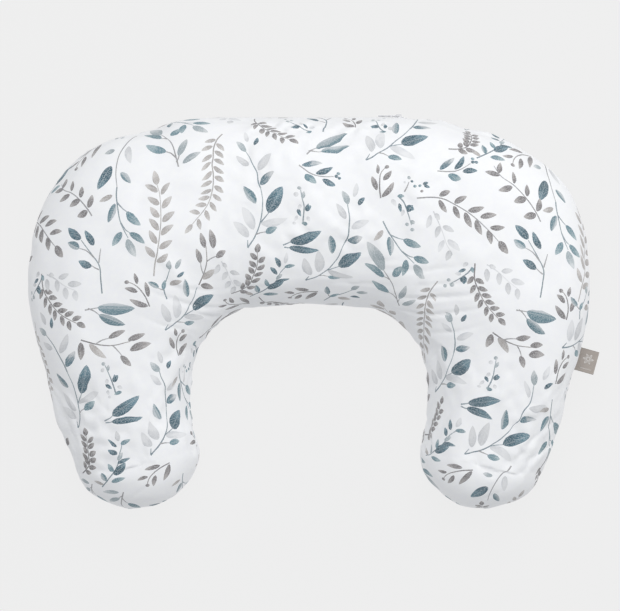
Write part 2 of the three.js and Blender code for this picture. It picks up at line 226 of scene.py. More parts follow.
class Cloth:
    """Points of a panel, given by side (1 right, -1 left), way along the spine, way across it
    as a share of the cloth there, and way past the arm's end as a share of the tip's cloth."""

    def __init__(self, side, s, across, beyond, half):
        self.side, self.s, self.half = side, s, half
        self.across, self.beyond = across, beyond
        self.outer = across >= 0
        self.share = np.hypot(across, beyond)

    @classmethod
    def from_flat(cls, u, v, half):
        """Points from their places on the flat cloth."""
        side = np.where(u < 0, -1.0, 1.0)
        x = np.abs(u)
        turned = np.arctan2(x - BACK_HALF, v + FLAT_RADIUS)
        cos_arm, sin_arm = math.cos(FLAT_BEND_ANGLE), math.sin(FLAT_BEND_ANGLE)
        down_arm = (x - FLAT_BEND_X) * cos_arm - (v - FLAT_BEND_Y) * sin_arm
        across_arm = (x - FLAT_BEND_X) * sin_arm + (v - FLAT_BEND_Y) * cos_arm
        back = x <= BACK_HALF
        arm = (turned > FLAT_BEND_ANGLE) & ~back
        s = np.where(back, x, np.where(arm, BEND_END + down_arm, BACK_HALF + turned * FLAT_RADIUS))
        bend_across = np.hypot(x - BACK_HALF, v + FLAT_RADIUS) - FLAT_RADIUS
        t = np.where(back, v, np.where(arm, across_arm, bend_across))
        beyond = np.maximum(s - SPINE_HALF, 0) / TIP_CLOTH[half]
        s = np.minimum(s, SPINE_HALF)
        return cls(side, s, t / cloth_length(s, half, t >= 0), beyond, half)

    def flat(self):
        """Places on the flat cloth."""
        t = self.across * cloth_length(self.s, self.half, self.outer)
        turned = np.clip((self.s - BACK_HALF) / FLAT_RADIUS, 0, FLAT_BEND_ANGLE)
        arm = np.maximum(self.s - BEND_END, 0) + self.beyond * TIP_CLOTH[self.half]
        out_x, out_y = np.sin(turned), np.cos(turned)
        x = np.minimum(self.s, BACK_HALF) + (FLAT_RADIUS + t) * out_x + arm * out_y
        y = (FLAT_RADIUS + t) * out_y - FLAT_RADIUS - arm * out_x
        return self.side * x, y

    def length(self):
        return cloth_length(self.s, self.half, self.outer)

    def place(self, depth=(0.0, 0.0)):
        """Places in space at a depth (at the seam, on the crown) inside the smooth cushion."""
        share = np.minimum(self.share, 1)
        whole = np.maximum(self.share, 1e-9)
        outward = np.where(self.beyond > 0, (1 + self.across / whole) / 2, self.outer)
        reach = outward * table_value(SECTIONS[self.half, True][0], self.s, share)
        reach += (1 - outward) * table_value(SECTIONS[self.half, False][0], self.s, share)
        out = reach * self.across / whole * (side_width(self.s, self.outer) - depth[0])
        on = reach * self.beyond / whole * (TIP_LENGTH - depth[0])
        x, y, out_x, out_y = spine_point(self.s)
        z = section_height(self.s, reach, self.half, depth[1])
        x = self.side * (x + out_x * out + out_y * on)
        y = y + out_y * out - out_x * on
        return np.stack([x + MIDDLE_X, y + MIDDLE_Y, z], axis=-1)

    def edge_share(self):
        """Share of the cloth at the panel's edge, which steps back along the zip's slot."""
        return 1 - SLOT_OPENING * slot_share(self) / self.length()


BACK_EDGE_S = np.linspace(0, SPINE_HALF, 800)
BACK_TURN = np.minimum(np.maximum(BACK_EDGE_S - BACK_HALF, 0) / BEND_RADIUS, 1.2)
BACK_EDGE_X = np.minimum(BACK_EDGE_S, BACK_HALF) + (BEND_RADIUS + BACK_EDGE_WIDTH) * np.tan(BACK_TURN)


def slot_share(points):
    """How open the zip's slot is at the edge nearest to each point, from 0 to 1."""
    x = np.interp(points.s, BACK_EDGE_S, BACK_EDGE_X)
    open_part = 1 - smooth_step(x, SLOT_HALF - SLOT_TAPER, SLOT_HALF)
    return np.where(points.outer & (points.beyond <= 0), open_part, 0.0)


# ------------------------------------------------------------------ wrinkles and relief

class Waves:
    """Smooth noise: a sum of sine waves of about one length, in many directions."""

    def __init__(self, seed, length, count=14):
        random = np.random.default_rng(seed)
        angle = random.uniform(0, 2 * math.pi, count)
        rate = 2 * math.pi / (length * random.uniform(0.7, 1.5, count))
        self.rates = np.stack([rate * np.cos(angle), rate * np.sin(angle)])
        self.phases = random.uniform(0, 2 * math.pi, count)
        self.scale = math.sqrt(2 / count)

    def __call__(self, u, v):
        phase = u[..., None] * self.rates[0] + v[..., None] * self.rates[1] + self.phases
        return np.sin(phase).sum(-1) * self.scale


LUMPS = {1: Waves(11, 85), -1: Waves(12, 85)}
RIPPLES = {1: Waves(21, 30), -1: Waves(22, 30)}
PUCKERS = Waves(31, 16)
SEAM_WAVES = Waves(32, 48)
CLUMPS = Waves(41, 26)
TUFTS = Waves(42, 9)
LUMP_HEIGHT = 0.8
RIPPLE_HEIGHT = 0.16
PUCKER_HEIGHT = 0.45
PUCKER_REACH = 9.0
SEAM_WAVE_HEIGHT = 0.45

# Creases pulled into the cloth: middle u, v on the flat cloth, direction in degrees, half
# length, half width and depth. They fan out of the two tight bends and run off the arms' sides.
# Middle, direction and half length of all rows but (168, -130), (60, -88), (-160, -128) and
# (-60, -92) were printed by a measuring script from places read on the photo, and not worked out
# here. Half widths and depths were set one by one.
CREASES = [
    (116, -65, 5, 46, 3.2, 1.1), (141, -95, 10, 50, 3.0, 1.7), (145, -114, 14, 46, 2.6, 1.6),
    (149, -78, 10, 28, 2.6, 0.9), (74, -57, 3, 26, 3.0, 0.7), (168, -130, 24, 30, 2.6, 1.0),
    (60, -88, 2, 30, 3.0, 0.7), (143, -168, 31, 27, 2.8, 0.9), (149, -195, 30, 22, 2.6, 0.8),
    (-131, -106, -23, 40, 3.0, 1.5), (-99, -133, -26, 32, 2.8, 1.1), (-130, -86, -13, 30, 2.8, 0.9),
    (-94, -151, -4, 18, 2.4, 0.8), (-160, -128, -30, 28, 2.6, 0.8), (-60, -92, -2, 28, 3.0, 0.6),
    (317, -218, 40, 38, 2.8, 1.3), (297, -207, 48, 32, 2.6, 1.1), (335, -228, 68, 24, 2.4, 0.9),
    (306, -150, 63, 24, 2.4, 0.7), (290, -136, 66, 26, 2.4, 0.7), (271, 86, -40, 26, 3.0, 0.6),
    (-322, -160, -82, 32, 2.4, 0.8), (-314, -185, -79, 34, 2.4, 1.0), (-325, -132, -88, 28, 2.2, 0.6),
    (-299, -193, -83, 26, 2.2, 0.8), (-237, 74, 47, 24, 3.0, 0.6), (-256, -291, 29, 18, 2.4, 0.7),
    (262, -296, 45, 20, 2.4, 0.7),
]
CREASE_BOW = 0.002
CREASE_SPREAD = 1.3
CREASE_LIP = 0.6


def crease_relief(u, v):
    """Height of all creases at places on the flat cloth."""
    relief = np.zeros_like(u)
    for middle_u, middle_v, degrees, half_length, half_width, depth in CREASES:
        angle = math.radians(degrees)
        du, dv = u - middle_u, v - middle_v
        on = du * math.cos(angle) + dv * math.sin(angle)
        off = dv * math.cos(angle) - du * math.sin(angle) - CREASE_BOW * on ** 2
        fold = off / (half_width * CREASE_SPREAD)
        relief -= (depth * np.exp(-(on / half_length) ** 2) * (1 - CREASE_LIP * fold ** 2)
                   * np.exp(-fold ** 2))
    return relief


def cloth_relief(points, place):
    """How far the cloth stands out of the smooth cushion. place is where it lies there."""
    u, v = points.flat()
    half = points.half
    edge_share = points.edge_share()
    inside = np.maximum((edge_share - points.share) * points.length(), 0)
    own = LUMP_HEIGHT * LUMPS[half](u, v) + RIPPLE_HEIGHT * RIPPLES[half](u, v)
    if half > 0:
        own += crease_relief(u, v)
    x, y = place[..., 0], place[..., 1]
    shared = PUCKER_HEIGHT * PUCKERS(x, y) * np.exp(-inside / PUCKER_REACH)
    shared += SEAM_WAVE_HEIGHT * SEAM_WAVES(x, y) * np.exp(-inside / (3 * PUCKER_REACH))
    slot = slot_share(points)
    calm = 1 - slot * (1 - smooth_step(inside, 0.0, 30.0))
    relief = (own * smooth_step(inside, 0, 28.0) + shared) * calm
    return relief - (SEAM_DEPTH + (SLOT_LIP - SEAM_DEPTH) * slot) * np.exp(-(inside / SEAM_WIDTH) ** 2)


# ------------------------------------------------------------------ cloth simulation

SIM_ROWS = 46
SIM_TIP_ROWS = 9
SIM_COLUMNS = 32
SIM_FRAMES = 20
SIM_PRESSURE = 4.0
SIM_SHRINK = 0.07
SIM_CAP = 2.0
SIM_START = 0.985
SIM_SMOOTHING = 14
SIM_KEEP = 0.42


def grid_points(side, half, tip_rows, rows, columns):
    """Rows from the middle of the back to the end of the tip, columns from inner to outer edge."""
    s = np.concatenate([np.linspace(0, SPINE_HALF, rows), np.full(tip_rows, SPINE_HALF)])
    turn = np.concatenate([np.zeros(rows), np.linspace(0, math.pi / 2, tip_rows + 1)[1:]])
    share = np.linspace(-1, 1, columns + 1)
    s, share_grid = np.meshgrid(s, share, indexing="ij")
    turn = np.broadcast_to(turn[:, None], s.shape)
    across = share_grid * np.cos(turn)
    across = np.where((across == 0) & (share_grid < 0), -1e-12, across)
    return Cloth(np.full_like(s, side), s, across, np.abs(share_grid) * np.sin(turn), half)


def weld(blocks):
    """Numbers the points of several grids so that points in one place share a number."""
    points = np.concatenate([block.reshape(-1, 3) for block in blocks])
    _, first, number = np.unique(np.round(points, 2), axis=0, return_index=True, return_inverse=True)
    return points[first], number.reshape(-1)


def grid_faces(rows, columns, numbers, flipped):
    grid = numbers.reshape(rows, columns)
    quads = np.stack([grid[:-1, :-1], grid[:-1, 1:], grid[1:, 1:], grid[1:, :-1]], -1).reshape(-1, 4)
    return quads[:, ::-1] if flipped else quads


def closed_cushion(depth, rows, tip_rows, columns):
    """Closed mesh of the whole cushion at a depth: its points, faces and numbering."""
    keys = [(side, half) for half in (1, -1) for side in (1, -1)]
    grids = {key: grid_points(key[0], key[1], tip_rows, rows, columns) for key in keys}
    blocks = [grids[key].place(depth) for key in keys]
    points, number = weld(blocks)
    size = blocks[0].shape[0] * blocks[0].shape[1]
    faces = []
    for index, (side, half) in enumerate(keys):
        part = number[index * size:(index + 1) * size]
        faces.append(grid_faces(blocks[0].shape[0], blocks[0].shape[1], part, side * half < 0))
    clean = []
    for face in np.concatenate(faces).tolist():
        corners = list(dict.fromkeys(face))
        if len(corners) > 2:
            clean.append(corners)
    return keys, grids, points, clean, number, blocks[0].shape[:2]


def new_object(name, points, faces):
    mesh = bpy.data.meshes.new(name)
    mesh.from_pydata((np.asarray(points) * MM).tolist(), [], faces)
    mesh.update()
    piece = bpy.data.objects.new(name, mesh)
    bpy.context.scene.collection.objects.link(piece)
    return piece


def read_points(mesh):
    values = np.zeros(len(mesh.vertices) * 3, np.float64)
    mesh.vertices.foreach_get("co", values)
    return values.reshape(-1, 3) / MM


def simulate_cover():
    """Inflates a coarse cover whose seam has drawn in, and returns its fine movement by grid."""
    keys, grids, points, faces, number, shape = closed_cushion(
        (0.0, 0.0), SIM_ROWS, SIM_TIP_ROWS, SIM_COLUMNS)
    random = np.random.default_rng(5)
    centre_height = points[:, 2].mean()
    start = points.copy()
    start[:, 2] = centre_height + (points[:, 2] - centre_height) * SIM_START
    start += random.normal(0, 0.04, start.shape)
    piece = new_object("cover_simulation", start, faces)
    shares = np.concatenate([grids[key].share.reshape(-1) for key in keys])
    seam = np.zeros(len(points))
    np.maximum.at(seam, number, np.clip((shares - 0.9) / 0.1, 0, 1))
    group = piece.vertex_groups.new(name="seam")
    for index, weight in enumerate(seam.tolist()):
        if weight > 0:
            group.add([index], weight, "REPLACE")
    cloth = piece.modifiers.new("cloth", "CLOTH")
    settings = cloth.settings
    settings.quality = 5
    settings.mass = 0.2
    settings.tension_stiffness = 25
    settings.compression_stiffness = 25
    settings.shear_stiffness = 15
    settings.bending_stiffness = 0.4
    settings.tension_damping = 10
    settings.use_pressure = True
    settings.uniform_pressure_force = SIM_PRESSURE
    settings.vertex_group_shrink = "seam"
    settings.shrink_min = 0.0
    settings.shrink_max = SIM_SHRINK
    settings.effector_weights.gravity = 0
    cloth.collision_settings.use_collision = False
    cloth.point_cache.frame_end = SIM_FRAMES
    scene = bpy.context.scene
    for number_of_frame in range(1, SIM_FRAMES + 1):
        scene.frame_set(number_of_frame)
    shaped = piece.evaluated_get(bpy.context.evaluated_depsgraph_get())
    moved = read_points(shaped.data) - points
    scene.frame_set(1)
    links = np.zeros(len(piece.data.edges) * 2, int)
    piece.data.edges.foreach_get("vertices", links)
    links = links.reshape(-1, 2)
    bpy.data.objects.remove(piece)
    fine = moved - spread_out(moved, links, SIM_SMOOTHING)
    fine *= SIM_KEEP
    length = np.linalg.norm(fine, axis=-1, keepdims=True)
    fine *= np.minimum(1, SIM_CAP / np.maximum(length, 1e-9))
    spread = np.percentile(length, (50, 90, 99))
    print("cover simulation: moved", np.abs(moved).max(), "kept", spread)
    size = shape[0] * shape[1]
    return {
        key: fine[number[index * size:(index + 1) * size]].reshape(*shape, 3)
        for index, key in enumerate(keys)
    }


def spread_out(values, links, passes):
    """Evens values out between linked points."""
    count = np.zeros(len(values))
    np.add.at(count, links.reshape(-1), 1)
    for _ in range(passes):
        total = np.zeros_like(values)
        np.add.at(total, links[:, 0], values[links[:, 1]])
        np.add.at(total, links[:, 1], values[links[:, 0]])
        values = (values + total / count[:, None]) / 2
    return values


def grid_sample(field, row, column):
    """Smooth (cubic) lookup in a grid of vectors."""
    rows, columns = field.shape[:2]
    row = np.clip(row, 0, rows - 1)
    column = np.clip(column, 0, columns - 1)
    i = np.minimum(row.astype(int), rows - 2)
    j = np.minimum(column.astype(int), columns - 2)
    result = 0
    for k, weight_row in enumerate(cubic_weights(row - i)):
        for m, weight_column in enumerate(cubic_weights(column - j)):
            at_row = np.clip(i + k - 1, 0, rows - 1)
            at_column = np.clip(j + m - 1, 0, columns - 1)
            result = result + field[at_row, at_column] * (weight_row * weight_column)[..., None]
    return result


def cubic_weights(t):
    return (
        (-t + 2 * t ** 2 - t ** 3) / 2,
        (2 - 5 * t ** 2 + 3 * t ** 3) / 2,
        (t + 4 * t ** 2 - 3 * t ** 3) / 2,
        (-t ** 2 + t ** 3) / 2,
    )


MOVES = simulate_cover()


def simulated_move(points):
    turn = np.arctan2(points.beyond, np.abs(points.across))
    on_back = points.s / SPINE_HALF * (SIM_ROWS - 1)
    row = np.where(points.beyond > 0, SIM_ROWS - 1 + turn / (math.pi / 2) * SIM_TIP_ROWS, on_back)
    signed = np.where(points.outer, points.share, -points.share)
    column = (np.clip(signed, -1, 1) + 1) / 2 * SIM_COLUMNS
    right = grid_sample(MOVES[1, points.half], row, column)
    left = grid_sample(MOVES[-1, points.half], row, column)
    return np.where((points.side > 0)[..., None], right, left)


# ------------------------------------------------------------------ finished surface

SLOPE_STEP = 0.6


def slope_normal(place, u, v, half):
    """Outward direction of a surface given over the flat cloth, by small steps on it."""
    du = place(u + SLOPE_STEP, v) - place(u - SLOPE_STEP, v)
    dv = place(u, v + SLOPE_STEP) - place(u, v - SLOPE_STEP)
    normal = np.cross(du, dv) * half
    return normal / np.maximum(np.linalg.norm(normal, axis=-1, keepdims=True), 1e-9)


def finished(points, depth=(0.0, 0.0)):
    """Places of the finished cloth: smooth cushion, simulated move, relief and seam."""
    half = points.half
    u, v = points.flat()
    smooth = points.place(depth)
    outward = slope_normal(lambda a, b: Cloth.from_flat(a, b, half).place(depth), u, v, half)
    inside = np.maximum((points.edge_share() - points.share) * points.length(), 0)
    calm = 1 - slot_share(points) * (1 - smooth_step(inside, 0.0, 30.0))
    place = smooth + simulated_move(points) * calm[..., None]
    place = place + outward * cloth_relief(points, smooth)[..., None]
    rests = half < 0
    if rests:
        place[..., 2] = np.maximum(place[..., 2], depth[1] + 0.02)
    place[..., 2] += half * SEAM_GAP * smooth_step(points.share, 0.97, 1.0)
    return place


# ------------------------------------------------------------------ printed leaf sprigs

# Watercolour tones: the leaf's own colour, the colour it runs into, and how that one lies:
# 0 towards the tip, 1 towards the foot, 2 along one side.
TONES = {
    "deep": ((0.165, 0.330, 0.390), (0.360, 0.500, 0.555), 0),
    "teal": ((0.365, 0.505, 0.550), (0.590, 0.672, 0.695), 0),
    "tipped": ((0.280, 0.425, 0.480), (0.800, 0.810, 0.820), 0),
    "half": ((0.340, 0.475, 0.520), (0.750, 0.775, 0.790), 2),
    "slate": ((0.600, 0.650, 0.670), (0.780, 0.800, 0.810), 0),
    "mist": ((0.870, 0.875, 0.883), (0.795, 0.802, 0.815), 1),
    "stone": ((0.670, 0.650, 0.638), (0.785, 0.772, 0.762), 0),
    "brown": ((0.465, 0.448, 0.450), (0.650, 0.632, 0.626), 0),
    "stem": ((0.580, 0.575, 0.580), (0.660, 0.660, 0.670), 0),
    "stem_teal": ((0.450, 0.520, 0.555), (0.580, 0.630, 0.655), 0),
}


def fern(stem, pairs, length, width, tone, first=0.12, last=0.9, spread=42.0):
    """A sprig of paired leaves on a curved stem, with one more leaf at its end."""
    line = smooth_line(stem, 60)
    leaves = []
    for index in range(pairs):
        share = first + (last - first) * index / (pairs - 1)
        at = line[int(share * (len(line) - 1))]
        ahead = line[min(int(share * (len(line) - 1)) + 2, len(line) - 1)] - at
        heading = math.atan2(ahead[1], ahead[0])
        size = length * (1.0 - 0.25 * abs(share - 0.45))
        for hand in (1, -1):
            angle = heading + hand * math.radians(spread + 4 * math.sin(3.1 * index + hand))
            root = at + (0.09 * length * hand) * np.array([-math.sin(heading), math.cos(heading)])
            root = root + ahead * (0.7 if hand > 0 else -0.7)
            tip = root + size * np.array([math.cos(angle), math.sin(angle)])
            leaves.append((*root, *tip, width, tone))
    heading = line[-1] - line[-3]
    tip = line[-1] + heading / np.linalg.norm(heading) * length * 0.95
    leaves.append((*line[-1], *tip, width * 1.1, tone))
    return {"stems": [(stem, tone)], "leaves": leaves}


def smooth_line(points, count):
    """Evenly spread points on a smooth curve through the given ones."""
    points = np.asarray(points, float)
    if len(points) == 2:
        return points[0] + (points[1] - points[0]) * np.linspace(0, 1, count)[:, None]
    ends = [2 * points[0] - points[1], *points, 2 * points[-1] - points[-2]]
    curve = []
    for before, start, end, after in zip(ends, ends[1:], ends[2:], ends[3:]):
        for t in np.linspace(0, 1, 12, endpoint=False):
            cube = (3 * start - before - 3 * end + after) * t ** 3
            square = (2 * before - 5 * start + 4 * end - after) * t ** 2
            curve.append((2 * start + (end - before) * t + square + cube) / 2)
    curve.append(points[-1])
    curve = np.array(curve)
    way = np.concatenate([[0], np.cumsum(np.linalg.norm(np.diff(curve, axis=0), axis=1))])
    even = np.linspace(0, way[-1], count)
    return np.stack([np.interp(even, way, curve[:, 0]), np.interp(even, way, curve[:, 1])], -1)


# Each sprig is drawn once on the flat cloth, in millimetres, between its foot and its tip.
# A leaf runs from its root to its point, with its width and tone; a bud is a place and a radius.
SPRIGS = {
    "branch_low": {
        "foot": (-64, -42), "tip": (-77, 73),
        "stems": [
            ([(-64, -42), (-57, -31), (-51, -14), (-49, 4), (-50.5, 20)], "stem_teal"),
            ([(-64, -42), (-64, -34)], "stem_teal"),
            ([(-51, -16), (-47, -11), (-43, -6)], "stem_teal"),
            ([(-56, -28), (-51, -26), (-46, -25)], "stem"),
        ],
        "leaves": [
            (-58, -23, -70, 0, 11, "mist"), (-63, -31, -79, -15, 10, "mist"),
            (-51, -17, -23, -11, 9, "mist"), (-46, -26, -34, -20, 7, "teal"),
            (-43.5, -6, -29, 21, 14.5, "deep"), (-56, 4, -68, 22, 8, "half"),
        ],
    },
    "branch_top": {
        "foot": (-64, -42), "tip": (-77, 73),
        "stems": [
            ([(-50.5, 20), (-51.5, 27), (-54, 36), (-58, 47), (-63, 57), (-67, 63.5)], "stem_teal"),
        ],
        "leaves": [
            (-50, 25, -36, 38, 8.5, "tipped"), (-53, 40, -39, 57, 8.5, "mist"),
            (-62, 47, -77, 57.5, 7.5, "mist"), (-66, 63, -77.5, 73, 7.5, "slate"),
            (-64, 73, -69, 88, 6, "mist"), (-56.5, 67, -54, 78, 5, "deep"),
        ],
    },
    "hanging_top": {
        "foot": (-183, 100), "tip": (-197, 33),
        "stems": [([(-183, 100), (-190, 84), (-196, 68), (-198, 50), (-197, 33)], "stem")],
        "leaves": [
            (-187, 80, -183, 57, 8, "mist"), (-201, 77, -212, 75, 7, "slate"),
            (-203, 58, -217, 34, 12, "deep"), (-193, 49, -183, 35, 7, "half"),
        ],
    },
    "hanging_low": {
        "foot": (-198, 26), "tip": (-185, -43),
        "stems": [
            ([(-197, 33), (-198, 24), (-197.5, 10), (-196, -4), (-190, -22)], "stem_teal"),
            ([(-198, 17), (-193, 10), (-189, 6)], "stem_teal"),
            ([(-196, -4), (-192, -12), (-188, -16)], "stem_teal"),
        ],
        "leaves": [
            (-202, 25, -216, 21, 6, "stone"), (-200, 16, -209, -2, 8, "half"),
            (-189, 6, -176, -10, 8.5, "teal"), (-196, -14, -207, -28, 8, "teal"),
            (-188, -16, -174, -29, 8, "teal"), (-191, -23, -185, -43, 9.5, "slate"),
        ],
    },
    "four_leaf": {
        "foot": (-226, -73), "tip": (-252, 2),
        "stems": [
            ([(-226, -73), (-224, -58), (-223, -45), (-229, -32), (-239, -14)], "stem_teal"),
            ([(-223, -42), (-221, -35), (-219, -28)], "stem"),
            ([(-224, -49), (-228, -46), (-231, -43)], "stem"),
            ([(-227, -36), (-234, -27), (-242, -22)], "stem"),
        ],
        "leaves": [
            (-239, -13, -252, 2, 9, "deep"), (-226, -23, -234, -5, 7.5, "deep"),
            (-242, -22, -254, -13, 8, "half"), (-231, -44, -245, -34, 8, "deep"),
        ],
    },
    "brown_fern": {
        "foot": (-225, 8), "tip": (-266, 62),
        "stems": [([(-225, 8), (-229, 16), (-237, 28), (-247, 39), (-258, 47), (-263, 57)], "stem")],
        "leaves": [
            (-229, 14, -241, 11, 8, "brown"), (-228, 17, -223, 30, 7, "brown"),
            (-237, 28, -249, 24, 8, "brown"), (-236, 30, -234, 42, 6, "brown"),
            (-249, 38, -262, 34, 7, "brown"), (-247, 41, -246, 53, 5, "brown"),
            (-259, 48, -272, 51, 6, "brown"), (-260, 50, -256, 61, 6, "brown"),
        ],
    },
    "long_fern": {
        "foot": (111, 11), "tip": (210, -34),
        "stems": [([(111, 11), (133, 12), (151, 7.5), (166, 1), (181, -9), (200, -24)], "stem")],
        "leaves": [
            (133, 14, 145, 21, 6, "brown"), (133, 10, 142, -2, 6, "brown"),
            (150, 9, 163, 18, 6.5, "brown"), (149, 6, 157, -6, 7, "brown"),
            (165, 3, 181, 9, 6.5, "brown"), (162, 1, 170, -14, 7, "brown"),
            (178, -2, 194, 3, 6.5, "brown"), (174, -5, 181, -20, 7, "brown"),
            (189, -11, 204, -8, 6, "brown"), (187, -14, 192, -28, 7, "brown"),
            (200, -23, 211, -34, 8.5, "brown"),
        ],
    },
    "berry_sprig": {
        "foot": (-6, -17), "tip": (-10, 21),
        "stems": [([(-7, -15), (-6, 0), (-7, 10), (-9, 18)], "stem_teal")],
        "leaves": [
            (-6.5, 10, -5, 17, 4.5, "slate"), (-13, -2, -9, -9.5, 4, "deep"),
            (-1, -16, -9, -16, 4, "teal"), (-10, 3, -12, -3, 4, "mist"),
            (-3, -9, 1, -13, 4, "mist"), (-5, -3, 2, 2, 5.5, "deep"),
            (-4, -4, -1, 4, 4, "deep"), (-13, -9, -16, -15, 3.5, "mist"),
        ],
        "buds": [(-10, 20, 2.2, "slate"), (-13, 14, 2.4, "mist"), (-16, -17, 1.8, "mist")],
    },
    "dark_pair": {
        "foot": (-28, -41), "tip": (12, -23),
        "stems": [
            ([(-28, -41), (-23, -39), (-17, -36)], "stem_teal"),
            ([(-27, -43), (-22, -43.5), (-18, -43)], "stem_teal"),
        ],
        "leaves": [(-20, -37.5, 12.5, -23, 11.5, "deep"), (-21, -43, 10.5, -45, 8.5, "deep")],
    },
    "grey_pair": {
        "foot": (-3, 57), "tip": (40, 87),
        "stems": [([(-3, 57), (3, 62), (9, 67)], "stem"), ([(-1, 60), (7, 61.5), (15, 61)], "stem")],
        "leaves": [(8, 66, 41, 87, 13.5, "half"), (13, 61, 42, 67, 10, "half")],
    },
    "wide_sprig": {
        "foot": (-134, 47), "tip": (-174, 99),
        "stems": [
            ([(-134, 47), (-137, 59), (-142, 74), (-148, 84), (-154, 92)], "stem"),
            ([(-136, 56), (-142, 62), (-149, 65)], "stem"),
            ([(-136, 52), (-134, 56), (-133, 60)], "stem"),
            ([(-147, 82), (-150, 84), (-154, 85)], "stem"),
        ],
        "leaves": [
            (-147, 64, -168.5, 77, 9.5, "teal"), (-153, 84.5, -175, 100, 9, "teal"),
            (-134, 58, -126, 77, 8, "slate"), (-130, 50, -112, 60, 6.5, "slate"),
            (-143, 86, -134, 98, 9.5, "teal"), (-154, 92, -173, 124, 13, "slate"),
        ],
    },
    "four_berry": {
        "foot": (-10, 45), "tip": (31, 33),
        "stems": [([(-10, 45), (-1, 39), (9, 34.5), (25, 34)], "stem")],
        "leaves": [
            (-7, 45, 14, 48, 6, "tipped"), (7, 37, 24, 44, 6.5, "deep"),
            (-4, 36, 7, 25, 9, "teal"), (13, 31, 27, 24, 6.5, "deep"),
        ],
        "buds": [(28, 34, 2, "deep"), (31, 32, 1.8, "deep"), (30, 37, 1.8, "teal")],
    },
    "brown_tree": {
        "foot": (212, -118), "tip": (274, -124),
        "stems": [
            ([(212, -118), (225, -122.5), (240, -124.5), (256, -122)], "brown"),
            ([(225, -122.5), (231, -119.5), (238, -118)], "stem"),
            ([(240, -124.5), (245, -130), (248, -135)], "stem"),
        ],
        "leaves": [
            (212, -120, 210, -135, 8, "brown"), (219, -122, 233, -135, 8, "stone"),
            (237, -118, 252, -112, 6.5, "brown"), (254, -121, 269, -115, 6.5, "brown"),
            (255, -130, 274, -124, 8.5, "brown"), (246, -134, 255, -144, 7, "brown"),
        ],
    },
    "bud_sprig": {
        "foot": (75, 9), "tip": (81, 43),
        "stems": [([(75, 9), (73, 20), (74, 31), (77, 38), (81, 42)], "brown")],
        "leaves": [
            (76, 10, 88, 26, 6.5, "brown"), (70.5, 18, 65, 33, 5.5, "brown"),
            (77, 28, 86, 38, 5.5, "brown"), (73, 35, 70, 46, 4.5, "brown"),
        ],
        "buds": [(81, 42, 2.4, "brown")],
    },
    "florets": {
        "foot": (97, 12), "tip": (108, -23),
        "stems": [([(92, 11), (97, 6), (102, -4), (107, -17)], "stem_teal")],
        "leaves": [
            (91, 11, 98, 11.5, 4, "teal"), (93, 4, 95, -5, 4, "deep"), (86, 8, 90, 1, 5, "mist"),
            (100, 1, 109, -1, 6, "deep"), (102, -4, 107, 3, 5, "deep"), (98, -2, 96, -9, 4, "mist"),
        ],
        "buds": [(108, -14, 2.6, "slate"), (102, -17, 2.2, "slate"), (108, -22, 2.2, "slate")],
    },
    "dots": {
        "foot": (98, 17), "tip": (122, 25),
        "stems": [([(98, 16), (101, 22), (103, 28)], "stem")],
        "leaves": [(117, 25, 122, 28, 4, "deep"), (118, 24, 124, 22, 3.6, "deep")],
        "buds": [
            (103, 32, 1.9, "slate"), (106, 29, 1.5, "deep"), (109, 24, 1.8, "teal"),
            (114, 24, 1.7, "teal"), (116, 18, 1.6, "brown"), (99, 27, 1.4, "mist"),
        ],
    },
    "mist_sprig": {
        "foot": (128, -2), "tip": (152, -50),
        "stems": [([(128, -2), (136, -14), (143, -28), (151, -40)], "mist")],
        "leaves": [
            (126, -6, 122, -20, 6.5, "mist"), (130, -4, 136, -10, 5, "mist"),
            (137, -16, 133, -29, 6.5, "mist"), (140, -16, 153, -20, 6, "mist"),
            (143, -30, 139, -43, 7, "mist"), (147, -29, 161, -39, 7, "mist"),
            (151, -40, 148, -52, 7, "mist"),
        ],
    },
    "teal_branch": {
        "foot": (-62, -108), "tip": (-24, -49),
        "stems": [
            ([(-62, -108), (-52, -101), (-43, -93), (-34, -82), (-30, -72), (-24, -64)], "stem_teal"),
        ],
        "leaves": [
            (-58, -105, -69, -97, 5, "stone"), (-53, -101, -55, -89, 6, "half"),
            (-48, -104, -32, -103, 6, "teal"), (-43, -95, -26, -83, 9.5, "deep"),
            (-42, -91, -45, -80, 5.5, "teal"), (-35, -82, -20, -80, 4.5, "deep"),
            (-34, -79, -27, -72, 5, "slate"), (-33, -73, -41, -65, 5.5, "deep"),
            (-30, -65, -36, -54, 5.5, "deep"), (-25, -64, -14, -61, 4.5, "teal"),
            (-25, -60, -24, -48, 5.5, "mist"),
        ],
    },
    "sage_sprig": {
        "foot": (-161, -93), "tip": (-152, -51),
        "stems": [
            ([(-161, -93), (-162, -81), (-156, -69), (-152, -59)], "stem_teal"),
            ([(-162, -82), (-165, -81), (-168, -79)], "stem"),
        ],
        "leaves": [
            (-167, -79, -177, -71, 6, "half"), (-163, -82, -159, -72, 5, "teal"),
            (-153, -60, -151, -50, 6.5, "slate"), (-146, -60, -137, -51, 5.5, "slate"),
            (-146, -69, -136, -65, 4, "deep"), (-155, -78, -141, -74, 7, "stone"),
        ],
    },
    "beige_fern": {
        "foot": (-91, 84), "tip": (-128, -22),
        **fern(
            [(-91, 84), (-97, 74), (-100, 60), (-100, 35), (-101, 16), (-106, 1), (-122, -16)],
            10, 13, 5.2, "stone", spread=55.0),
    },
    "grey_fern": {
        "foot": (-170, -66), "tip": (-158, 37),
        **fern(
            [(-170, -66), (-166, -50), (-159, -30), (-154, -10), (-153, 12), (-156, 30)],
            6, 17, 7.0, "stone", first=0.2, spread=46.0),
    },
    "small_fern": {
        "foot": (178, -50), "tip": (223, -107),
        **fern(
            [(178, -50), (180, -66), (187, -78), (196, -89), (206, -97), (214, -102)],
            6, 11, 5.5, "brown", first=0.25, spread=48.0),
    },
    "upright_fern": {
